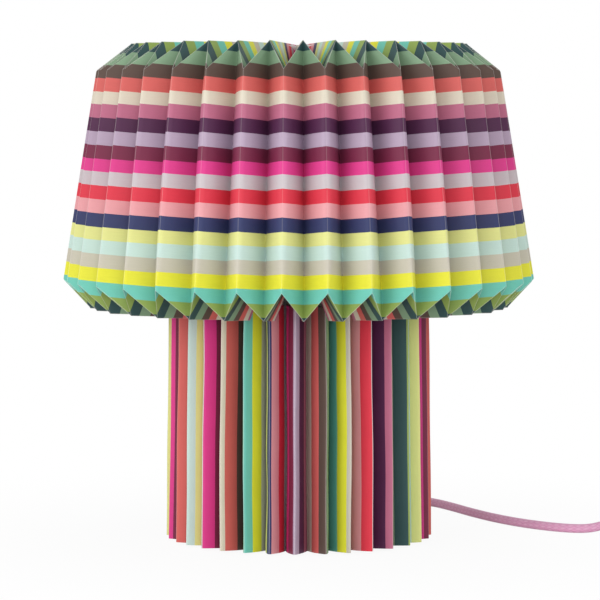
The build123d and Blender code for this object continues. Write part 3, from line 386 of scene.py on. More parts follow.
def printed(finish, inks, stripes, wear_and_highlight, painted_shade, sheet, fibres):
    """Print, fibres, pale worn folds that on the shade also carry a painted highlight, and painted shade that
    darkens the hollows of the folds. stripes counts stripes, sheet is the place in metres, and fibres tells
    how many fibres there are in a metre across and up the sheet."""
    repeat = (stripes / len(STRIPES)).fraction()
    stops = [(place / len(STRIPES), getattr(inks, ink)) for place, ink in enumerate(STRIPES)]
    tint = finish.node("ShaderNodeValToRGB", {"steps": "CONSTANT", "stops": stops}, {0: repeat})
    patches = finish.noise(60.0, 3.0, sheet)
    threads = finish.noise(1100.0, 2.0, sheet)
    rubs = finish.noise(140.0, 3.0, sheet)
    streaks = finish.noise(1.0, 2.0, finish.along_fibres(sheet, fibres))
    # The last term is painted shade that darkens the print in the hollows of the folds; where it falls below
    # 0 it lightens the paper a little, a painted highlight.
    tint = finish.tinted(tint, 0.9 + 0.08 * patches + 0.05 * threads + 0.09 * streaks - 0.2 * painted_shade)
    # The pale fold mark is wear, and on the shade also a painted highlight where it grows stronger at the
    # lamp's sides.
    worn = wear_and_highlight * (0.55 + 0.5 * rubs)
    tint = finish.blend(worn, tint, inks.worn)
    rough = 0.5 + 0.14 * patches + 0.1 * worn
    normal = finish.bump(threads * 0.5 + streaks * 0.6 + patches * 0.6, 0.06 * MM)
    return finish.surface(Base_Color=tint, Roughness=rough, Normal=normal, Specular_IOR_Level=0.32)


def shade_paper(settings, inks, sheet_width, sheet_height):
    """Printed paper of the shade: level stripes, worn at its folds and creases, with a painted highlight that
    makes its outward folds paler at the lamp's left and right, and painted shade towards its inward folds.
    """
    finish = Finish("shade_paper")
    sheet = finish.place((sheet_width, sheet_height, 1.0), flat=True)
    (hub, ridge_top, ridge_bottom, _), (_, valley_top, valley_bottom, _) = fold_prints(settings)
    down = sheet_height - finish.part(sheet, "Y") + hub
    pleat = finish.part(sheet, "X") / (2 * settings.strip)
    from_ridge = pleat.from_whole() * 2
    from_top = down - (ridge_top + (valley_top - ridge_top) * from_ridge)
    from_bottom = down - (ridge_bottom + (valley_bottom - ridge_bottom) * from_ridge)
    wall = (from_top > 0) * (from_bottom < 0)
    from_fold = wall * from_ridge + (1 - wall) * (1 - from_ridge)
    fold = (from_fold * settings.strip).fade(0.05 * MM, 0.8 * MM)
    # side is 1 at the lamp's left and right and 0 at its front and back: there it makes the pale fold lines
    # stronger, a painted highlight on top of the wear.
    side = 1 - abs((pleat * (2 * math.pi / settings.pleats) + settings.first_ridge).sine())
    crease = abs(from_top).least(abs(from_bottom)).fade(0.1 * MM, 0.8 * MM)
    wear_and_highlight = (fold * (0.1 + 0.6 * side)).most(crease * 0.45)
    stripes = down / inks.stripe + list(STRIPES).index("coral")
    # Painted shade: darkens the print towards the inward folds.
    painted_shade = (1 - from_fold).fade(0.0, 0.75)
    return printed(finish, inks, stripes, wear_and_highlight, painted_shade, sheet, (FIBRES_ALONG, FIBRES_ACROSS))


def sleeve_paper(settings, inks, sheet_width, sheet_height):
    """Printed paper of the sleeve: upright stripes, worn at its outer folds, with painted shade in its
    hollows and a slight painted highlight on its outer folds.
    """
    finish = Finish("sleeve_paper")
    sheet = finish.place((sheet_width, sheet_height, 1.0), flat=True)
    from_ridge = finish.node("ShaderNodeAttribute", {"attribute_name": "pleat"}, {}, "Fac").from_whole() * 2
    fold = (from_ridge * settings.strip).fade(0.1 * MM, 0.7 * MM)
    stripes = settings.print_start - finish.part(sheet, "X") / inks.stripe
    # Painted shade in the hollows between the outer folds, and below 0 a slight painted highlight on the
    # outer folds.
    painted_shade = (1 - from_ridge).fade(0.0, 0.75) * 1.8 - 0.35
    return printed(finish, inks, stripes, fold * 0.5, painted_shade, sheet, (FIBRES_ACROSS, FIBRES_ALONG))


def paper_backing(inks):
    """White film behind the paper."""
    finish = Finish("paper_backing")
    grain = finish.noise(260.0, 3.0)
    tint = finish.tinted(inks.backing, 0.94 + 0.06 * grain)
    normal = finish.bump(grain, 0.05 * MM)
    return finish.surface(Base_Color=tint, Roughness=0.46 + 0.12 * grain, Normal=normal)


def paper_core(inks):
    """Cut edge of the laminated paper."""
    finish = Finish("paper_core")
    layers = finish.noise(900.0, 2.0, finish.place((1.0, 1.0, 8.0)))
    tint = finish.tinted(inks.worn, 0.88 + 0.14 * layers)
    return finish.surface(Base_Color=tint, Roughness=0.8, Normal=finish.bump(layers, 0.04 * MM))


def braid(settings):
    """Braided textile sleeve on a tube whose map has the way round in X and metres along it in Y."""
    finish = Finish("pink_braid")
    uv = finish.place(flat=True)
    across = finish.part(uv, "X") * settings.strands
    along = finish.part(uv, "Y") / settings.lay
    one, two = across + along, across - along
    over = ((one.whole() + two.whole()) / 2).fraction() > 0.25
    strand = finish.noise(1.0, 2.0, finish.along_fibres(uv, (9.0, 110.0)))
    ridge_one = (one.fraction() * math.pi).sine()
    ridge_two = (two.fraction() * math.pi).sine()
    height = over * ridge_one + (1 - over) * ridge_two
    fuzz = finish.noise(2600.0, 3.0)
    patches = finish.noise(90.0, 2.0)
    tint = finish.blend(over * 0.25 + strand * 0.5, settings.yarn, settings.light_yarn)
    # Painted shade: the low parts between strands take the darker groove colour.
    tint = finish.blend(height.fade(0.0, 0.5) * 0.5, tint, settings.groove_shade)
    tint = finish.tinted(tint, 0.94 + 0.14 * fuzz + 0.1 * patches)
    normal = finish.bump(height * 0.6 + strand * 0.4 + fuzz * 0.35, 0.22 * MM)
    gloss = {"Specular_IOR_Level": 0.25, "Sheen_Weight": 0.25, "Sheen_Roughness": 0.5}
    return finish.surface(Base_Color=tint, Roughness=0.78 + 0.15 * fuzz, Normal=normal, **gloss)


def grained(name, code, rough, grain_scale, grain_depth, spread=0.05, **sockets):
    """Moulded, cast or coated surface with a fine grain and slight unevenness."""
    finish = Finish(name)
    grain = finish.noise(grain_scale, 4.0)
    patches = finish.noise(grain_scale / 14, 3.0)
    tint = finish.tinted(linear(code), 1 - spread + spread * (patches + grain))
    normal = finish.bump(grain, grain_depth)
    roughness = rough - 0.05 + 0.1 * patches
    return finish.surface(Base_Color=tint, Roughness=roughness, Normal=normal, **sockets)


def turned_metal(name, code, rough, rings=1400.0, **sockets):
    """Metal with fine turning marks across Z, and faint stains."""
    finish = Finish(name)
    marks = finish.noise(rings, 3.0, finish.place((0.08, 0.08, 1.0)))
    stains = finish.noise(55.0, 4.0)
    tint = finish.tinted(linear(code), 0.86 + 0.1 * marks + 0.12 * stains)
    roughness = rough - 0.06 + 0.1 * stains + 0.08 * marks
    return finish.surface(
        Base_Color=tint, Roughness=roughness, Metallic=1.0, Normal=finish.bump(marks, 0.03 * MM), **sockets
    )


def felt():
    """Pressed wool with stray fibres."""
    finish = Finish("grey_felt")
    clumps = finish.noise(420.0, 6.0)
    fibres = finish.noise(3000.0, 3.0, finish.place((1.0, 0.2, 1.0)))
    tint = finish.tinted(linear(0x4A4A4D), 0.7 + 0.4 * clumps + 0.25 * fibres)
    normal = finish.bump(clumps + fibres * 0.6, 0.5 * MM)
    gloss = {"Sheen_Weight": 0.4, "Sheen_Roughness": 0.6}
    return finish.surface(Base_Color=tint, Roughness=0.95, Normal=normal, **gloss)


def plywood():
    """Pale plywood: long grain on its faces, plies round its edge."""
    finish = Finish("birch_plywood")
    grain = finish.noise(260.0, 5.0, finish.place((0.12, 1.0, 0.3)))
    ply = finish.part(finish.place(), "Z") / (1.4 * MM)
    dark_ply = (ply.fraction() > 0.55) * 0.1
    tint = finish.blend(grain, linear(0xC9A878), linear(0xE3CBA0))
    tint = finish.tinted(tint, 1.0 - dark_ply)
    return finish.surface(Base_Color=tint, Roughness=0.6 + 0.15 * grain, Normal=finish.bump(grain, 0.1 * MM))


def opal_dome():
    """Milky diffuser of the bulb."""
    finish = Finish("opal_diffuser")
    haze = finish.noise(70.0, 3.0)
    tint = finish.tinted(linear(0xF4F2EC), 0.96 + 0.05 * haze)
    return finish.surface(Base_Color=tint, Roughness=0.22 + 0.05 * haze, Coat_Weight=0.3, Coat_Roughness=0.12)


def make_finishes():
    """A finish for each material slot of the frame's own nodes."""
    return {
        "felt": felt(),
        "black_steel": grained("black_powder_coat", 0x2B2B2D, 0.5, 1500.0, 0.06 * MM),
        "birch_ply": plywood(),
        "zinc_steel": turned_metal("zinc_plated_steel", 0xB9BCC0, 0.34),
        "white_holder": grained("white_holder_plastic", 0xE9E7E1, 0.42, 900.0, 0.02 * MM, 0.03),
        "ceramic": grained("glazed_ceramic", 0xF0EDE4, 0.16, 300.0, 0.03 * MM, 0.04),
        "brass": turned_metal("brass", 0xC9A35A, 0.28),
        "core_sheath": grained("wire_sheath", 0x4E6EA8, 0.35, 700.0, 0.02 * MM),
        "pink_rubber": grained("pink_grip_rubber", 0xC877A3, 0.6, 1200.0, 0.04 * MM),
        "white_switch": grained("white_switch_plastic", 0xEFEEEA, 0.3, 700.0, 0.015 * MM, 0.025),
        "white_rocker": grained("white_rocker_plastic", 0xF4F3F0, 0.22, 500.0, 0.01 * MM, 0.02),
        "plug_metal": turned_metal("nickel_pins", 0xCFCDC8, 0.2),
        "white_wire": grained("white_wire_coat", 0xEDECE8, 0.36, 1100.0, 0.05 * MM, 0.03),
        "card_ring": grained("rolled_card", 0xDDD6C6, 0.85, 500.0, 0.12 * MM, 0.1),
        "solder_metal": turned_metal("bulb_tip_metal", 0x8E8F92, 0.4),
        "bulb_metal": turned_metal("bulb_thread_shell", 0xD2D2D0, 0.25, 500.0),
        "bulb_plastic": grained("bulb_housing_plastic", 0xF1F0EC, 0.38, 700.0, 0.015 * MM, 0.025),
        "opal_dome": opal_dome(),
        "pink_cord": grained("inner_lead_braid", 0xCF86B0, 0.85, 2200.0, 0.2 * MM, 0.12),
        "tie_strap": grained("tie_strap", 0xE4E2DC, 0.9, 1500.0, 0.2 * MM, 0.15),
    }


# ---------------- making pieces
def deselect():
    """Leave nothing selected and no object active."""
    bpy.ops.object.select_all(action="DESELECT")
    bpy.context.view_layer.objects.active = None


def choose(piece):
    """Select one piece only."""
    deselect()
    piece.select_set(True)
    bpy.context.view_layer.objects.active = piece


def apply_modifiers(piece):
    """Apply all modifiers of a piece, in order."""
    choose(piece)
    for modifier in list(piece.modifiers):
        bpy.ops.object.modifier_apply(modifier=modifier.name)


def sheet_piece(name, places, sheet):
    """A grid whose vertices stand at their places, with their share of the flat sheet as its map. Both are
    given by column and row. The column of each vertex comes with it."""
    columns, rows = places.shape[:2]
    deselect()
    bpy.ops.mesh.primitive_grid_add(x_subdivisions=columns - 1, y_subdivisions=rows - 1, size=1)
    piece = bpy.context.object
    piece.name = piece.data.name = name
    flat = np.zeros(columns * rows * 3)
    piece.data.vertices.foreach_get("co", flat)
    flat = flat.reshape(-1, 3)
    column = np.rint((flat[:, 0] + 0.5) * (columns - 1)).astype(int)
    row = np.rint((flat[:, 1] + 0.5) * (rows - 1)).astype(int)
    piece.data.vertices.foreach_set("co", places[column, row].ravel())
    corners = np.zeros(len(piece.data.loops), dtype=np.int32)
    piece.data.loops.foreach_get("vertex_index", corners)
    piece.data.uv_layers[0].name = "Sheet"
    piece.data.uv_layers[0].data.foreach_set("uv", sheet[column, row][corners].ravel())
    piece.data.update()
    return piece, column


def close_seam(piece):
    """Close the seam where both ends of a sheet meet."""
    choose(piece)
    bpy.ops.object.mode_set(mode="EDIT")
    bpy.ops.mesh.select_all(action="SELECT")
    bpy.ops.mesh.remove_doubles(threshold=1e-5)
    bpy.ops.object.mode_set(mode="OBJECT")


def waver(*place):
    """Unevenness from -1 to 1 at a place of a fixed noise, so it is the same in each run. The bare numbers in
    the places keep one kind of unevenness apart from another."""
    return noise.noise(Vector(place))


def folded(lines, columns, reach):
    """Places across a sheet from the lines of its folds. Seen from above, each fold is a parabola that takes
    up the share reach of the strips on both sides, and its top stays on the fold's line. Both ends of the
    sheet have two lines more, and one reach more, for the folds that follow there."""
    half = reach[..., None] / 2
    folds = (lines[1:-1] - half * (lines[:-2] + lines[2:]) / 2) / (1 - half)
    folds[..., 2] = lines[1:-1, :, 2]
    strip = np.minimum(columns.astype(int), len(folds) - 4)
    share = (columns - strip)[:, None, None]
    first, second = folds[strip + 1], folds[strip + 2]
    places = first * (1 - share) + second * share
    for fold, inner, outer, distance in (
        (first, folds[strip], second, share),
        (second, folds[strip + 3], first, 1 - share),
    ):
        near = reach[strip + 1 + (fold is second)][..., None]
        step = (near + distance) / (2 * near)
        start, end = fold + near * (inner - fold), fold + near * (outer - fold)
        curve = (1 - step) ** 2 * start + 2 * step * (1 - step) * fold + step**2 * end
        curve[..., 2] = places[..., 2]
        places = np.where(distance < near, curve, places)
    return places


def bowed(places, columns, rows, swell, uneven):
    """Places moved square to the sheet, as each strip swells outwards between its folds by swell, and by a
    little more or less from strip to strip and row to row."""
    strip = np.minimum(columns.astype(int), int(columns[-1]) - 1)
    normal = np.cross(np.gradient(places, axis=0), np.gradient(places, axis=1))
    normal /= np.linalg.norm(normal, axis=-1, keepdims=True) + 1e-12
    outwards = np.sign((normal[..., :2] * places[..., :2]).sum(axis=-1, keepdims=True))
    waves = np.array([[waver(each * 0.77, row * 1.9, 8.4) for row in rows] for each in range(strip[-1] + 1)])
    arch = np.sin(math.pi * (columns - strip))[:, None]
    return places + normal * (arch * (outwards[..., 0] * swell + uneven * waves[strip]))[..., None]


def facing(angle):
    """1 at the front and the back of the lamp, falling to 0.2 at its sides."""
    return 0.2 + 0.8 * abs(np.sin(angle)) ** 3


def on_wall(along):
    """Rises from 0 at the shade's creases, 1 and 2, to 1 in the middle of its wall, and is 0 beyond them."""
    return np.clip(np.sin(math.pi * (along - 1)), 0, 1) ** 0.5 * (along > 1) * (along < 2)


def soften_rows(places, rows, softness=0.5):
    """Draw the vertices of sharp creases towards their neighbours, for the small radius of folded paper."""
    for row in rows:
        middle = (places[:, row - 1] + places[:, row + 1]) / 2
        places[:, row] = places[:, row] * (1 - softness) + middle * softness


def thicken(piece, thickness, materials):
    """Give a sheet its thickness inwards, with its print outside, its backing inside and its cut edge."""
    for material in materials:
        piece.data.materials.append(material)
    modifier = piece.modifiers.new("thickness", "SOLIDIFY")
    modifier.thickness = thickness
    modifier.offset = -1
    modifier.thickness_clamp = 0.5
    modifier.material_offset = 1
    modifier.material_offset_rim = 2
    apply_modifiers(piece)


def smooth_paper(piece):
    """Shade a sheet smooth but for its sharp folds and cut edges."""
    choose(piece)
    bpy.ops.object.shade_smooth_by_angle(angle=math.radians(40))


# ---------------- paper shade
def fold_corners(settings):
    """Corners (radius, level) of an outer and of an inner fold, from the hub to the neck."""
    ridge = [
        (settings.hub_radius, settings.hub_low),
        (settings.top_ridge_radius, settings.top_ridge_level),
        (settings.bottom_ridge_radius, settings.bottom_ridge_level),
        (settings.neck_radius, settings.neck_high),
    ]
    valley = [
        (settings.hub_radius, settings.hub_high),
        (settings.top_valley_radius, shade_top),
        (settings.bottom_valley_radius, settings.bottom_valley_level),
        (settings.neck_radius, settings.neck_low),
    ]
    return ridge, valley


def fold_prints(settings):
    """How far down the sheet the corners of both folds lie, from the upper edge of the coral stripe."""
    ridge, valley = fold_corners(settings)
    runs = [[math.dist(a, b) for a, b in zip(fold, fold[1:])] for fold in (ridge, valley)]
    ridge_top = -settings.top_print
    ridge_bottom = ridge_top + runs[0][1]
    valley_top = ridge_top - settings.top_slant
    valley_bottom = ridge_bottom + settings.bottom_slant
    return (
        (ridge_top - runs[0][0], ridge_top, ridge_bottom, ridge_bottom + runs[0][2]),
        (valley_top - runs[1][0], valley_top, valley_bottom, valley_bottom + runs[1][2]),
    )


def stations(between, edge):
    """Places from 0 up to but without 1: one close to each end, and so many evenly between them."""
    inner = np.linspace(0, 1, between + 2)[1:-1]
    return np.concatenate([[0, edge], inner, [1 - edge]])


def around(radius, angle, level):
    """A place round the lamp's axis."""
    return (radius * math.cos(angle), radius * math.sin(angle), level)


def sheet_columns(strips):
    """Columns of a sheet in strips, closer together near the folds, and the strip that each one is on."""
    across = np.array([0, 0.045, 0.11, 0.21, 0.5, 0.79, 0.89, 0.955])
    columns = np.append((np.arange(strips)[:, None] + across).ravel(), strips)
    return columns, np.minimum(columns.astype(int), strips - 1)


class LAMP_OT_shade(bpy.types.Operator):
    """Fold the printed sheet into the pleated shade"""

    bl_idname = "lamp.shade"
    bl_label = "Pleated shade"

    def execute(self, context):
        lamp = context.scene.lamp
        settings, inks = lamp.shade, lamp.print
        strips = 2 * settings.pleats
        columns, strip = sheet_columns(strips)
        share = columns - strip
        from_ridge = np.where(strip % 2 == 0, share, 1 - share)
        ridge, _ = fold_corners(settings)
        rows = (11, 24, 9)  # on the top, on the wall and underneath
        edge = 0.45 * MM
        runs = [math.dist(*ends) for ends in zip(ridge, ridge[1:])]
        along = [zone + stations(rows[zone], edge / runs[zone]) for zone in range(3)]
        along = np.concatenate([*along, [3]])
        folds = np.stack([self.fold_line(settings, fold % strips, along) for fold in range(-2, strips + 3)])
        reach = np.stack([self.fold_reach(settings, fold, along) for fold in range(-1, strips + 2)])
        places = folded(folds, columns, reach)
        free = abs(np.sin(math.pi * along)) ** 0.5
        angles = settings.first_ridge + math.pi / settings.pleats * columns
        swell = settings.bulge * on_wall(along) * facing(angles)[:, None]
        places = bowed(places, columns, along, swell, settings.uneven * free)
        soften_rows(places, [int(np.argmin(abs(along - zone))) for zone in (1, 2)])
        places[-1] = places[0]

        prints = fold_prints(settings)
        on_ridge, on_valley = (np.interp(along, range(4), fold) for fold in prints)
        down = on_ridge + (on_valley - on_ridge) * from_ridge[:, None]
        top, sheet_height = prints[0][0], prints[0][3] - prints[0][0]
        across = np.broadcast_to((columns / strips)[:, None], down.shape)
        sheet = np.stack([across, 1 - (down - top) / sheet_height], axis=-1)

        piece, _ = sheet_piece("pleated_shade", places[:, ::-1], sheet[:, ::-1])
        close_seam(piece)
        print_finish = shade_paper(settings, inks, strips * settings.strip, sheet_height)
        thicken(piece, settings.paper, (print_finish, paper_backing(inks), paper_core(inks)))
        smooth_paper(piece)
        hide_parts(*SHADE_NODES)
        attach(piece, "shade")
        return {"FINISHED"}

    @staticmethod
    def fold_line(settings, fold, along):
        """Points of one fold from the hub to the neck, a little uneven as folded by hand."""
        corners = fold_corners(settings)[fold % 2]
        angle = settings.first_ridge + math.pi / settings.pleats * fold
        spread = settings.spread * math.cos(angle) * abs(math.sin(angle / 2 - math.pi / 4))
        points = []
        for place in along:
            free = min(1.0, place) * min(1.0, 3 - place)
            seed = fold * 1.31, place * 0.9
            radius, level = (np.interp(place, range(4), side) for side in zip(*corners))
            radius += settings.stray_out * free * waver(*seed, 3.1)
            level += settings.stray_up * free * waver(seed[0] + 9, seed[1], 3.1)
            slip = settings.stray_aside * free * waver(*seed, 8.1) / radius
            turned_to = angle + slip + spread * min(1.0, max(0.0, 2 - place))
            points.append(around(radius, turned_to, level))
        return np.array(points)

    @staticmethod
    def fold_reach(settings, fold, along):
        """How far a fold is rounded: widely on the wall's outer folds at the front and the back."""
        angle = settings.first_ridge + math.pi / settings.pleats * fold
        wide = 0 if fold % 2 else settings.ridge_reach - settings.crease_reach
        return settings.crease_reach + wide * on_wall(along) * facing(angle)


# ---------------- paper sleeve
class LAMP_OT_sleeve(bpy.types.Operator):
    """Fold the printed sheet into the pleated sleeve of the base"""

    bl_idname = "lamp.sleeve"
    bl_label = "Pleated sleeve"

    def execute(self, context):
        lamp = context.scene.lamp
        settings, inks = lamp.sleeve, lamp.print
        strips = 2 * settings.pleats
        columns, strip = sheet_columns(strips)
        levels = np.linspace(0, 1, 31)
        angles, widths = self.folds(settings, strips)
        folds = np.stack([self.fold_line(settings, fold, angles, levels) for fold in range(-2, strips + 3)])
        ridge = np.arange(-1, strips + 2)[:, None] % 2
        reach = settings.valley_reach + (settings.ridge_reach - settings.valley_reach) * ridge
        reach = np.broadcast_to(reach, (len(ridge), len(levels)))
        places = folded(folds, columns, reach)
        places = bowed(places, columns, levels * 2, settings.bulge, settings.uneven)

        printed_at = np.concatenate([[0], np.cumsum(widths)])
        flat = printed_at[strip] + (columns - strip) * widths[strip]
        sheet_width = printed_at[-1]
        sheet = np.stack(np.broadcast_arrays(flat[:, None] / sheet_width, levels[None]), axis=-1)
        piece, column = sheet_piece("pleated_sleeve", places, sheet)
        pleat = piece.data.attributes.new("pleat", "FLOAT", "POINT")
        pleat.data.foreach_set("value", (columns[column] - 1) / 2)
        height = sleeve_high.z - sleeve_low.z
        finish = sleeve_paper(settings, inks, sheet_width, height)
        thicken(piece, settings.paper, (finish, paper_backing(inks), paper_core(inks)))
        self.cut_notch(piece, settings)
        smooth_paper(piece)
        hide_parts("paper_sleeve")
        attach(piece, "base")
        return {"FINISHED"}

    @staticmethod
    def folds(settings, strips):
        """Angle of each fold and printed width of each strip. Both ends of the sheet are inner folds."""
        pitch = math.pi / settings.pleats
        start = settings.seam - math.pi / 2
        angles = []
        for fold in range(strips + 1):
            angle = start + pitch * fold
            front = angle + math.pi / 2 - settings.wide_pleat
            near = min(1.0, 1 + math.cos(front))
            opened = settings.opening * math.tanh(front / (0.4 * pitch)) * near
            slip = opened + settings.spread * math.sin(front)
            stray = settings.stray_pitch * pitch * waver(fold % strips * 0.9, 6.3, 2.2)
            angles.append(angle + slip + stray * (0 < fold < strips))
        widths = []
        for before, after in zip(angles, angles[1:]):
            behind = math.sin((before + after) / 2) > 0
            widths.append(settings.strip * (settings.back_stretch if behind else 1))
        return np.array(angles), np.array(widths)

    @staticmethod
    def fold_line(settings, fold, angles, levels):
        """Points of one fold from the table up. Odd folds are outer ones, and end a little above it."""
        low, high = settings.valley_low, settings.valley_high
        lift = 0
        if fold % 2:
            low, high, lift = settings.ridge_low, settings.ridge_high, settings.ridge_lift
        nearest = min(max(fold, 0), len(angles) - 1)
        angle = angles[nearest] + (fold - nearest) * math.pi / settings.pleats
        points = []
        for level in levels:
            seed = fold * 1.31, level * 2.6
            radius = low + (high - low) * level + settings.stray_out * waver(*seed, 5.5)
            turned_to = angle + settings.stray_aside * waver(*seed, 11.5) / radius
            height = sleeve_low.z + (sleeve_high.z - sleeve_low.z) * level + lift * (1 - level)
            points.append(around(radius, turned_to, height))
        return np.array(points)

    @staticmethod
    def cut_notch(piece, settings):
        """Cut the way out for the cord."""
        place = around((settings.valley_low + settings.ridge_low) / 2, settings.exit_angle, 0)
        deselect()
        bpy.ops.mesh.primitive_cube_add(size=1, location=place, rotation=(0, 0, settings.exit_angle))
        cutter = bpy.context.object
        depth = 60 * MM
        cutter.scale = (depth, settings.notch_width, 2 * settings.notch_height)
        choose(cutter)
        bpy.ops.object.transform_apply(location=True, rotation=True, scale=True)
        choose(piece)
        modifier = piece.modifiers.new("notch", "BOOLEAN")
        modifier.operation = "DIFFERENCE"
        modifier.solver = "EXACT"
        modifier.object = cutter
        apply_modifiers(piece)
        bpy.data.objects.remove(cutter)


# ---------------- cord
def from_millimetres(*points):
    """The same points in metres."""
    return [tuple(value * MM for value in point) for point in points]


def near_route():
    """Route from the strain relief behind the sleeve to the switch."""
    return from_millimetres(
        (18.06, 102.42, 6.65), (20.49, 116.21, 6.65), (26.8, 136.5, 4.4), (40, 154, 3.2), (60, 163, 3.2),
        (82, 161, 3.2), (101, 149, 3.2), (115, 124, 3.2), (130, 90, 3.2), (147, 60, 3.2), (166, 35.5, 3.2),
        (190, 16, 3.2), (208.5, 12.8, 3.2), (221.5, 18.5, 5.9), (232, 20.8, 6.5),
    )


def coil_point(turns):
    """Place of the coil's middle line after a number of turns: inwards, up a layer, and outwards again."""
    centre = (301, 84)
    outer, pitch = 44, 7
    turns_in, climb = 2.75, 0.5
    level, rise = 4.4, 7
    climbed = min(max((turns - turns_in) / climb, 0), 1)
    inner = outer - pitch * turns_in
    radius = outer - pitch * turns
    if turns > turns_in:
        radius = inner - pitch * climb * (climbed - climbed**2)
    if turns > turns_in + climb:
        radius = inner + pitch * (turns - turns_in - climb)
    angle = 2 * math.pi * turns
    height = level + rise * (climbed - math.sin(2 * math.pi * climbed) / (2 * math.pi))
    return (centre[0] + radius * math.cos(angle), centre[1] + radius * math.sin(angle), height)


def far_route():
    """Route from the switch over the coil to the plug."""
    points_per_turn, turns = 36, 6
    lead_in = (
        (294, 20.8, 6.5), (307, 20.8, 6.5), (322, 25.5, 5.2), (335.5, 36.5, 4.4), (342.5, 50, 4.4),
        (345.5, 63.7, 4.4), (345.2, 77.7, 4.4),
    )
    lead_out = (
        (345.2, 90.3, 11.4), (345.4, 100.3, 11.4), (343, 112, 9.3), (342, 122.5, 6.9), (342, 132, 6.9),
    )
    coil = [coil_point(step / points_per_turn) for step in range(points_per_turn * turns + 1)]
    return from_millimetres(*lead_in, *coil, *lead_out)


def smooth_line(name, route):
    """Points along a NURBS curve whose control points are the route."""
    curve = bpy.data.curves.new(name, "CURVE")
    curve.dimensions = "3D"
    curve.resolution_u = 5
    spline = curve.splines.new("NURBS")
    spline.points.add(len(route) - 1)
    for control, point in zip(spline.points, route):
        control.co = (*point, 1)
    spline.order_u = 3
    spline.use_endpoint_u = True
    holder = bpy.data.objects.new(name, curve)
    mesh = bpy.data.meshes.new_from_object(holder)
    line = np.array([vertex.co[:] for vertex in mesh.vertices])
    bpy.data.meshes.remove(mesh)
    bpy.data.objects.remove(holder)
    bpy.data.curves.remove(curve)
    return line


def even_line(line, step):
    """The same line with points a step apart, and how far along each one is."""
    runs = np.concatenate([[0], np.cumsum(np.linalg.norm(np.diff(line, axis=0), axis=1))])
    along = np.linspace(0, runs[-1], int(runs[-1] / step) + 1)
    return np.stack([np.interp(along, runs, line[:, axis]) for axis in range(3)], axis=-1), along


def tube(name, line, along, radius, sides=24):
    """A round tube along a line, with a map that counts once round and metres along."""
    ahead = np.gradient(line, axis=0)
    ahead /= np.linalg.norm(ahead, axis=1, keepdims=True)
    up = np.array([0.0, 0.0, 1.0])
    places = np.zeros((sides + 1, len(line), 3))
    angles = np.linspace(0, 2 * math.pi, sides + 1)
    for index, (point, way) in enumerate(zip(line, ahead)):
        side = np.cross(way, up)
        side /= np.linalg.norm(side)
        over = np.cross(side, way)
        ring = np.cos(angles)[:, None] * side - np.sin(angles)[:, None] * over
        places[:, index] = point + radius * ring
    places[-1] = places[0]
    sheet = np.stack(np.broadcast_arrays((angles / (2 * math.pi))[:, None], along[None]), axis=-1)
    piece, _ = sheet_piece(name, places, sheet)
    close_seam(piece)
    choose(piece)
    bpy.ops.object.shade_smooth()
    return piece


def laid(name, route, diameter, step=1.6 * MM):
    """A cord along a route, its middle line and its length."""
    line, along = even_line(smooth_line(name, route), step)
    return tube(name, line, along, diameter / 2), line, along[-1]


class LAMP_OT_cord(bpy.types.Operator):
    """Lay the braided cord from the lamp to the switch, and over the coil to the plug"""

    bl_idname = "lamp.cord"
    bl_label = "Cord"

    def execute(self, context):
        settings = context.scene.lamp.cord
        finish = braid(settings)
        near_cord, near, near_length = laid("near_cord", near_route(), settings.diameter)
        far_cord, far, far_length = laid("far_cord", far_route(), settings.diameter)
        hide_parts("cord_near")
        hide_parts("cord_middle", "cord_coil", "cord_end")
        for piece in (near_cord, far_cord):
            piece.data.materials.append(finish)
            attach(piece, "base")
        return {"FINISHED"}


# ---------------- the frame's own pieces
class LAMP_OT_finishes(bpy.types.Operator):
    """Give the frame's own pieces their finishes and smooth shading"""

    bl_idname = "lamp.finishes"
    bl_label = "Finishes"

    def execute(self, context):
        finishes = make_finishes()
        for name, node in frame["nodes"].items():
            finish = finishes.get(SLOTS[name])
            if finish:
                node.data.materials.clear()
                node.data.materials.append(finish)
            node.data.polygons.foreach_set("use_smooth", [True] * len(node.data.polygons))
            weld = node.modifiers.new("weld", "WELD")
            weld.merge_threshold = 1e-6
            split = node.modifiers.new("edges", "EDGE_SPLIT")
            split.split_angle = math.radians(30)
        return {"FINISHED"}


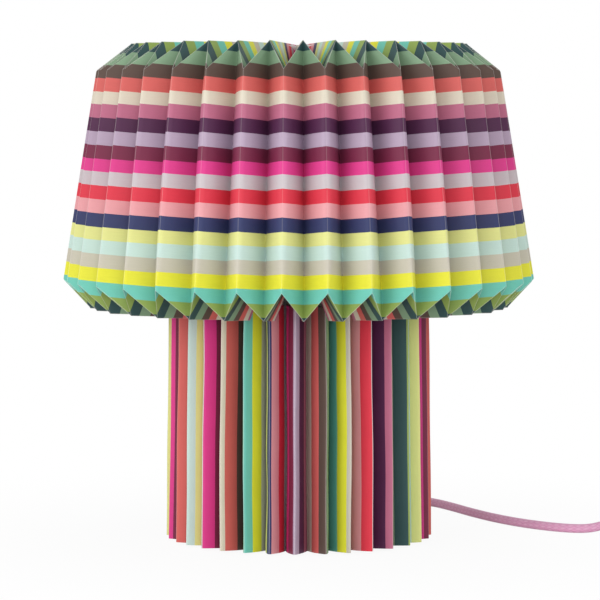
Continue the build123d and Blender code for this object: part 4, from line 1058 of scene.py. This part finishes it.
# ---------------- studio
class LAMP_OT_studio(bpy.types.Operator):
    """Set up the camera, the pale floor and the soft light"""

    bl_idname = "lamp.studio"
    bl_label = "Studio"

    def execute(self, context):
        studio = context.scene.lamp.studio
        deselect()
        eye = (studio.camera_aside, -studio.camera_distance, studio.camera_height)
        bpy.ops.object.camera_add(location=eye, rotation=(math.pi / 2 - studio.camera_tilt, 0, 0))
        camera = context.object
        camera.data.sensor_width = 36
        camera.data.lens = studio.lens
        camera.data.clip_start, camera.data.clip_end = 0.05, 400
        context.scene.camera = camera

        deselect()
        bpy.ops.mesh.primitive_plane_add(size=studio.floor_size, location=(0, 0, 0))
        floor = context.object
        floor.name = "floor"
        floor.data.materials.append(self.floor_finish(studio))

        aim = Vector((0, 0, studio.aim))
        self.light("key_light", (-1.3, -1.7, 0.9), aim, 1.5, studio.key)
        self.light("fill_light", (1.3, -1.7, 0.9), aim, 1.5, studio.fill)
        self.light("front_light", (0, -2.3, 0.45), aim, 0.8, studio.front)
        context.scene.world = self.sky(studio)
        context.scene.view_settings.view_transform = "Standard"
        return {"FINISHED"}

    @staticmethod
    def light(name, place, aim, size, power):
        """A large soft light that points at the aim."""
        deselect()
        turned_to = (aim - Vector(place)).to_track_quat("-Z", "Y").to_euler()
        bpy.ops.object.light_add(type="AREA", location=place, rotation=turned_to)
        lamp = bpy.context.object
        lamp.name = name
        lamp.data.shape = "DISK"
        lamp.data.size = size
        lamp.data.energy = power

    @staticmethod
    def floor_finish(studio):
        """Pale matt floor that looks almost white to the camera and still takes a shadow."""
        finish = Finish("pale_floor")
        matt = finish.node("ShaderNodeBsdfDiffuse", {}, {"Color": studio.floor})
        glow = finish.node("ShaderNodeEmission", {}, {"Color": (1.0, 1.0, 1.0), "Strength": 1.0})
        off = finish.node("ShaderNodeVectorMath", {"operation": "LENGTH"}, {0: finish.place()}, "Value")
        shadow = studio.shadow * off.fade(studio.shadow_near, studio.shadow_far)
        share = finish.backdrop_rays() * (1 - shadow)
        finish.show(finish.node("ShaderNodeMixShader", {}, {0: share, 1: matt, 2: glow}))
        return finish.material

    @staticmethod
    def sky(studio):
        """Even light from all sides, white where it is seen as the backdrop."""
        world = bpy.data.worlds.new("soft_studio")
        nodes = Nodes(world, "ShaderNodeOutputWorld")
        strength = studio.sky + (1 - studio.sky) * nodes.backdrop_rays()
        nodes.show(nodes.node("ShaderNodeBackground", {}, {"Color": (1.0, 1.0, 1.0), "Strength": strength}))
        return world


# ---------------- panel and registration
OPERATORS = (LAMP_OT_finishes, LAMP_OT_shade, LAMP_OT_sleeve, LAMP_OT_cord, LAMP_OT_studio)


class LAMP_PT_panel(bpy.types.Panel):
    """Settings and buttons of the lamp"""

    bl_label = "Pleated Paper Table Lamp"
    bl_idname = "LAMP_PT_panel"
    bl_space_type = "VIEW_3D"
    bl_region_type = "UI"
    bl_category = "Lamp"

    def draw(self, context):
        lamp = context.scene.lamp
        for group in (lamp.print, lamp.shade, lamp.sleeve, lamp.cord, lamp.studio):
            box = self.layout.box()
            for name in group.__annotations__:
                box.prop(group, name)
        for operator in OPERATORS:
            self.layout.operator(operator.bl_idname)


CLASSES = (
    PrintSettings, ShadeSettings, SleeveSettings, CordSettings, StudioSettings, LampSettings, *OPERATORS,
    LAMP_PT_panel,
)


def register():
    for made in CLASSES:
        bpy.utils.register_class(made)
    bpy.types.Scene.lamp = PointerProperty(type=LampSettings)


def unregister():
    del bpy.types.Scene.lamp
    for made in reversed(CLASSES):
        bpy.utils.unregister_class(made)


def main():
    """Make all pieces in order."""
    register()
    bpy.ops.lamp.finishes()
    bpy.ops.lamp.shade()
    bpy.ops.lamp.sleeve()
    bpy.ops.lamp.cord()
    bpy.ops.lamp.studio()


if __name__ == "__main__":
    main()
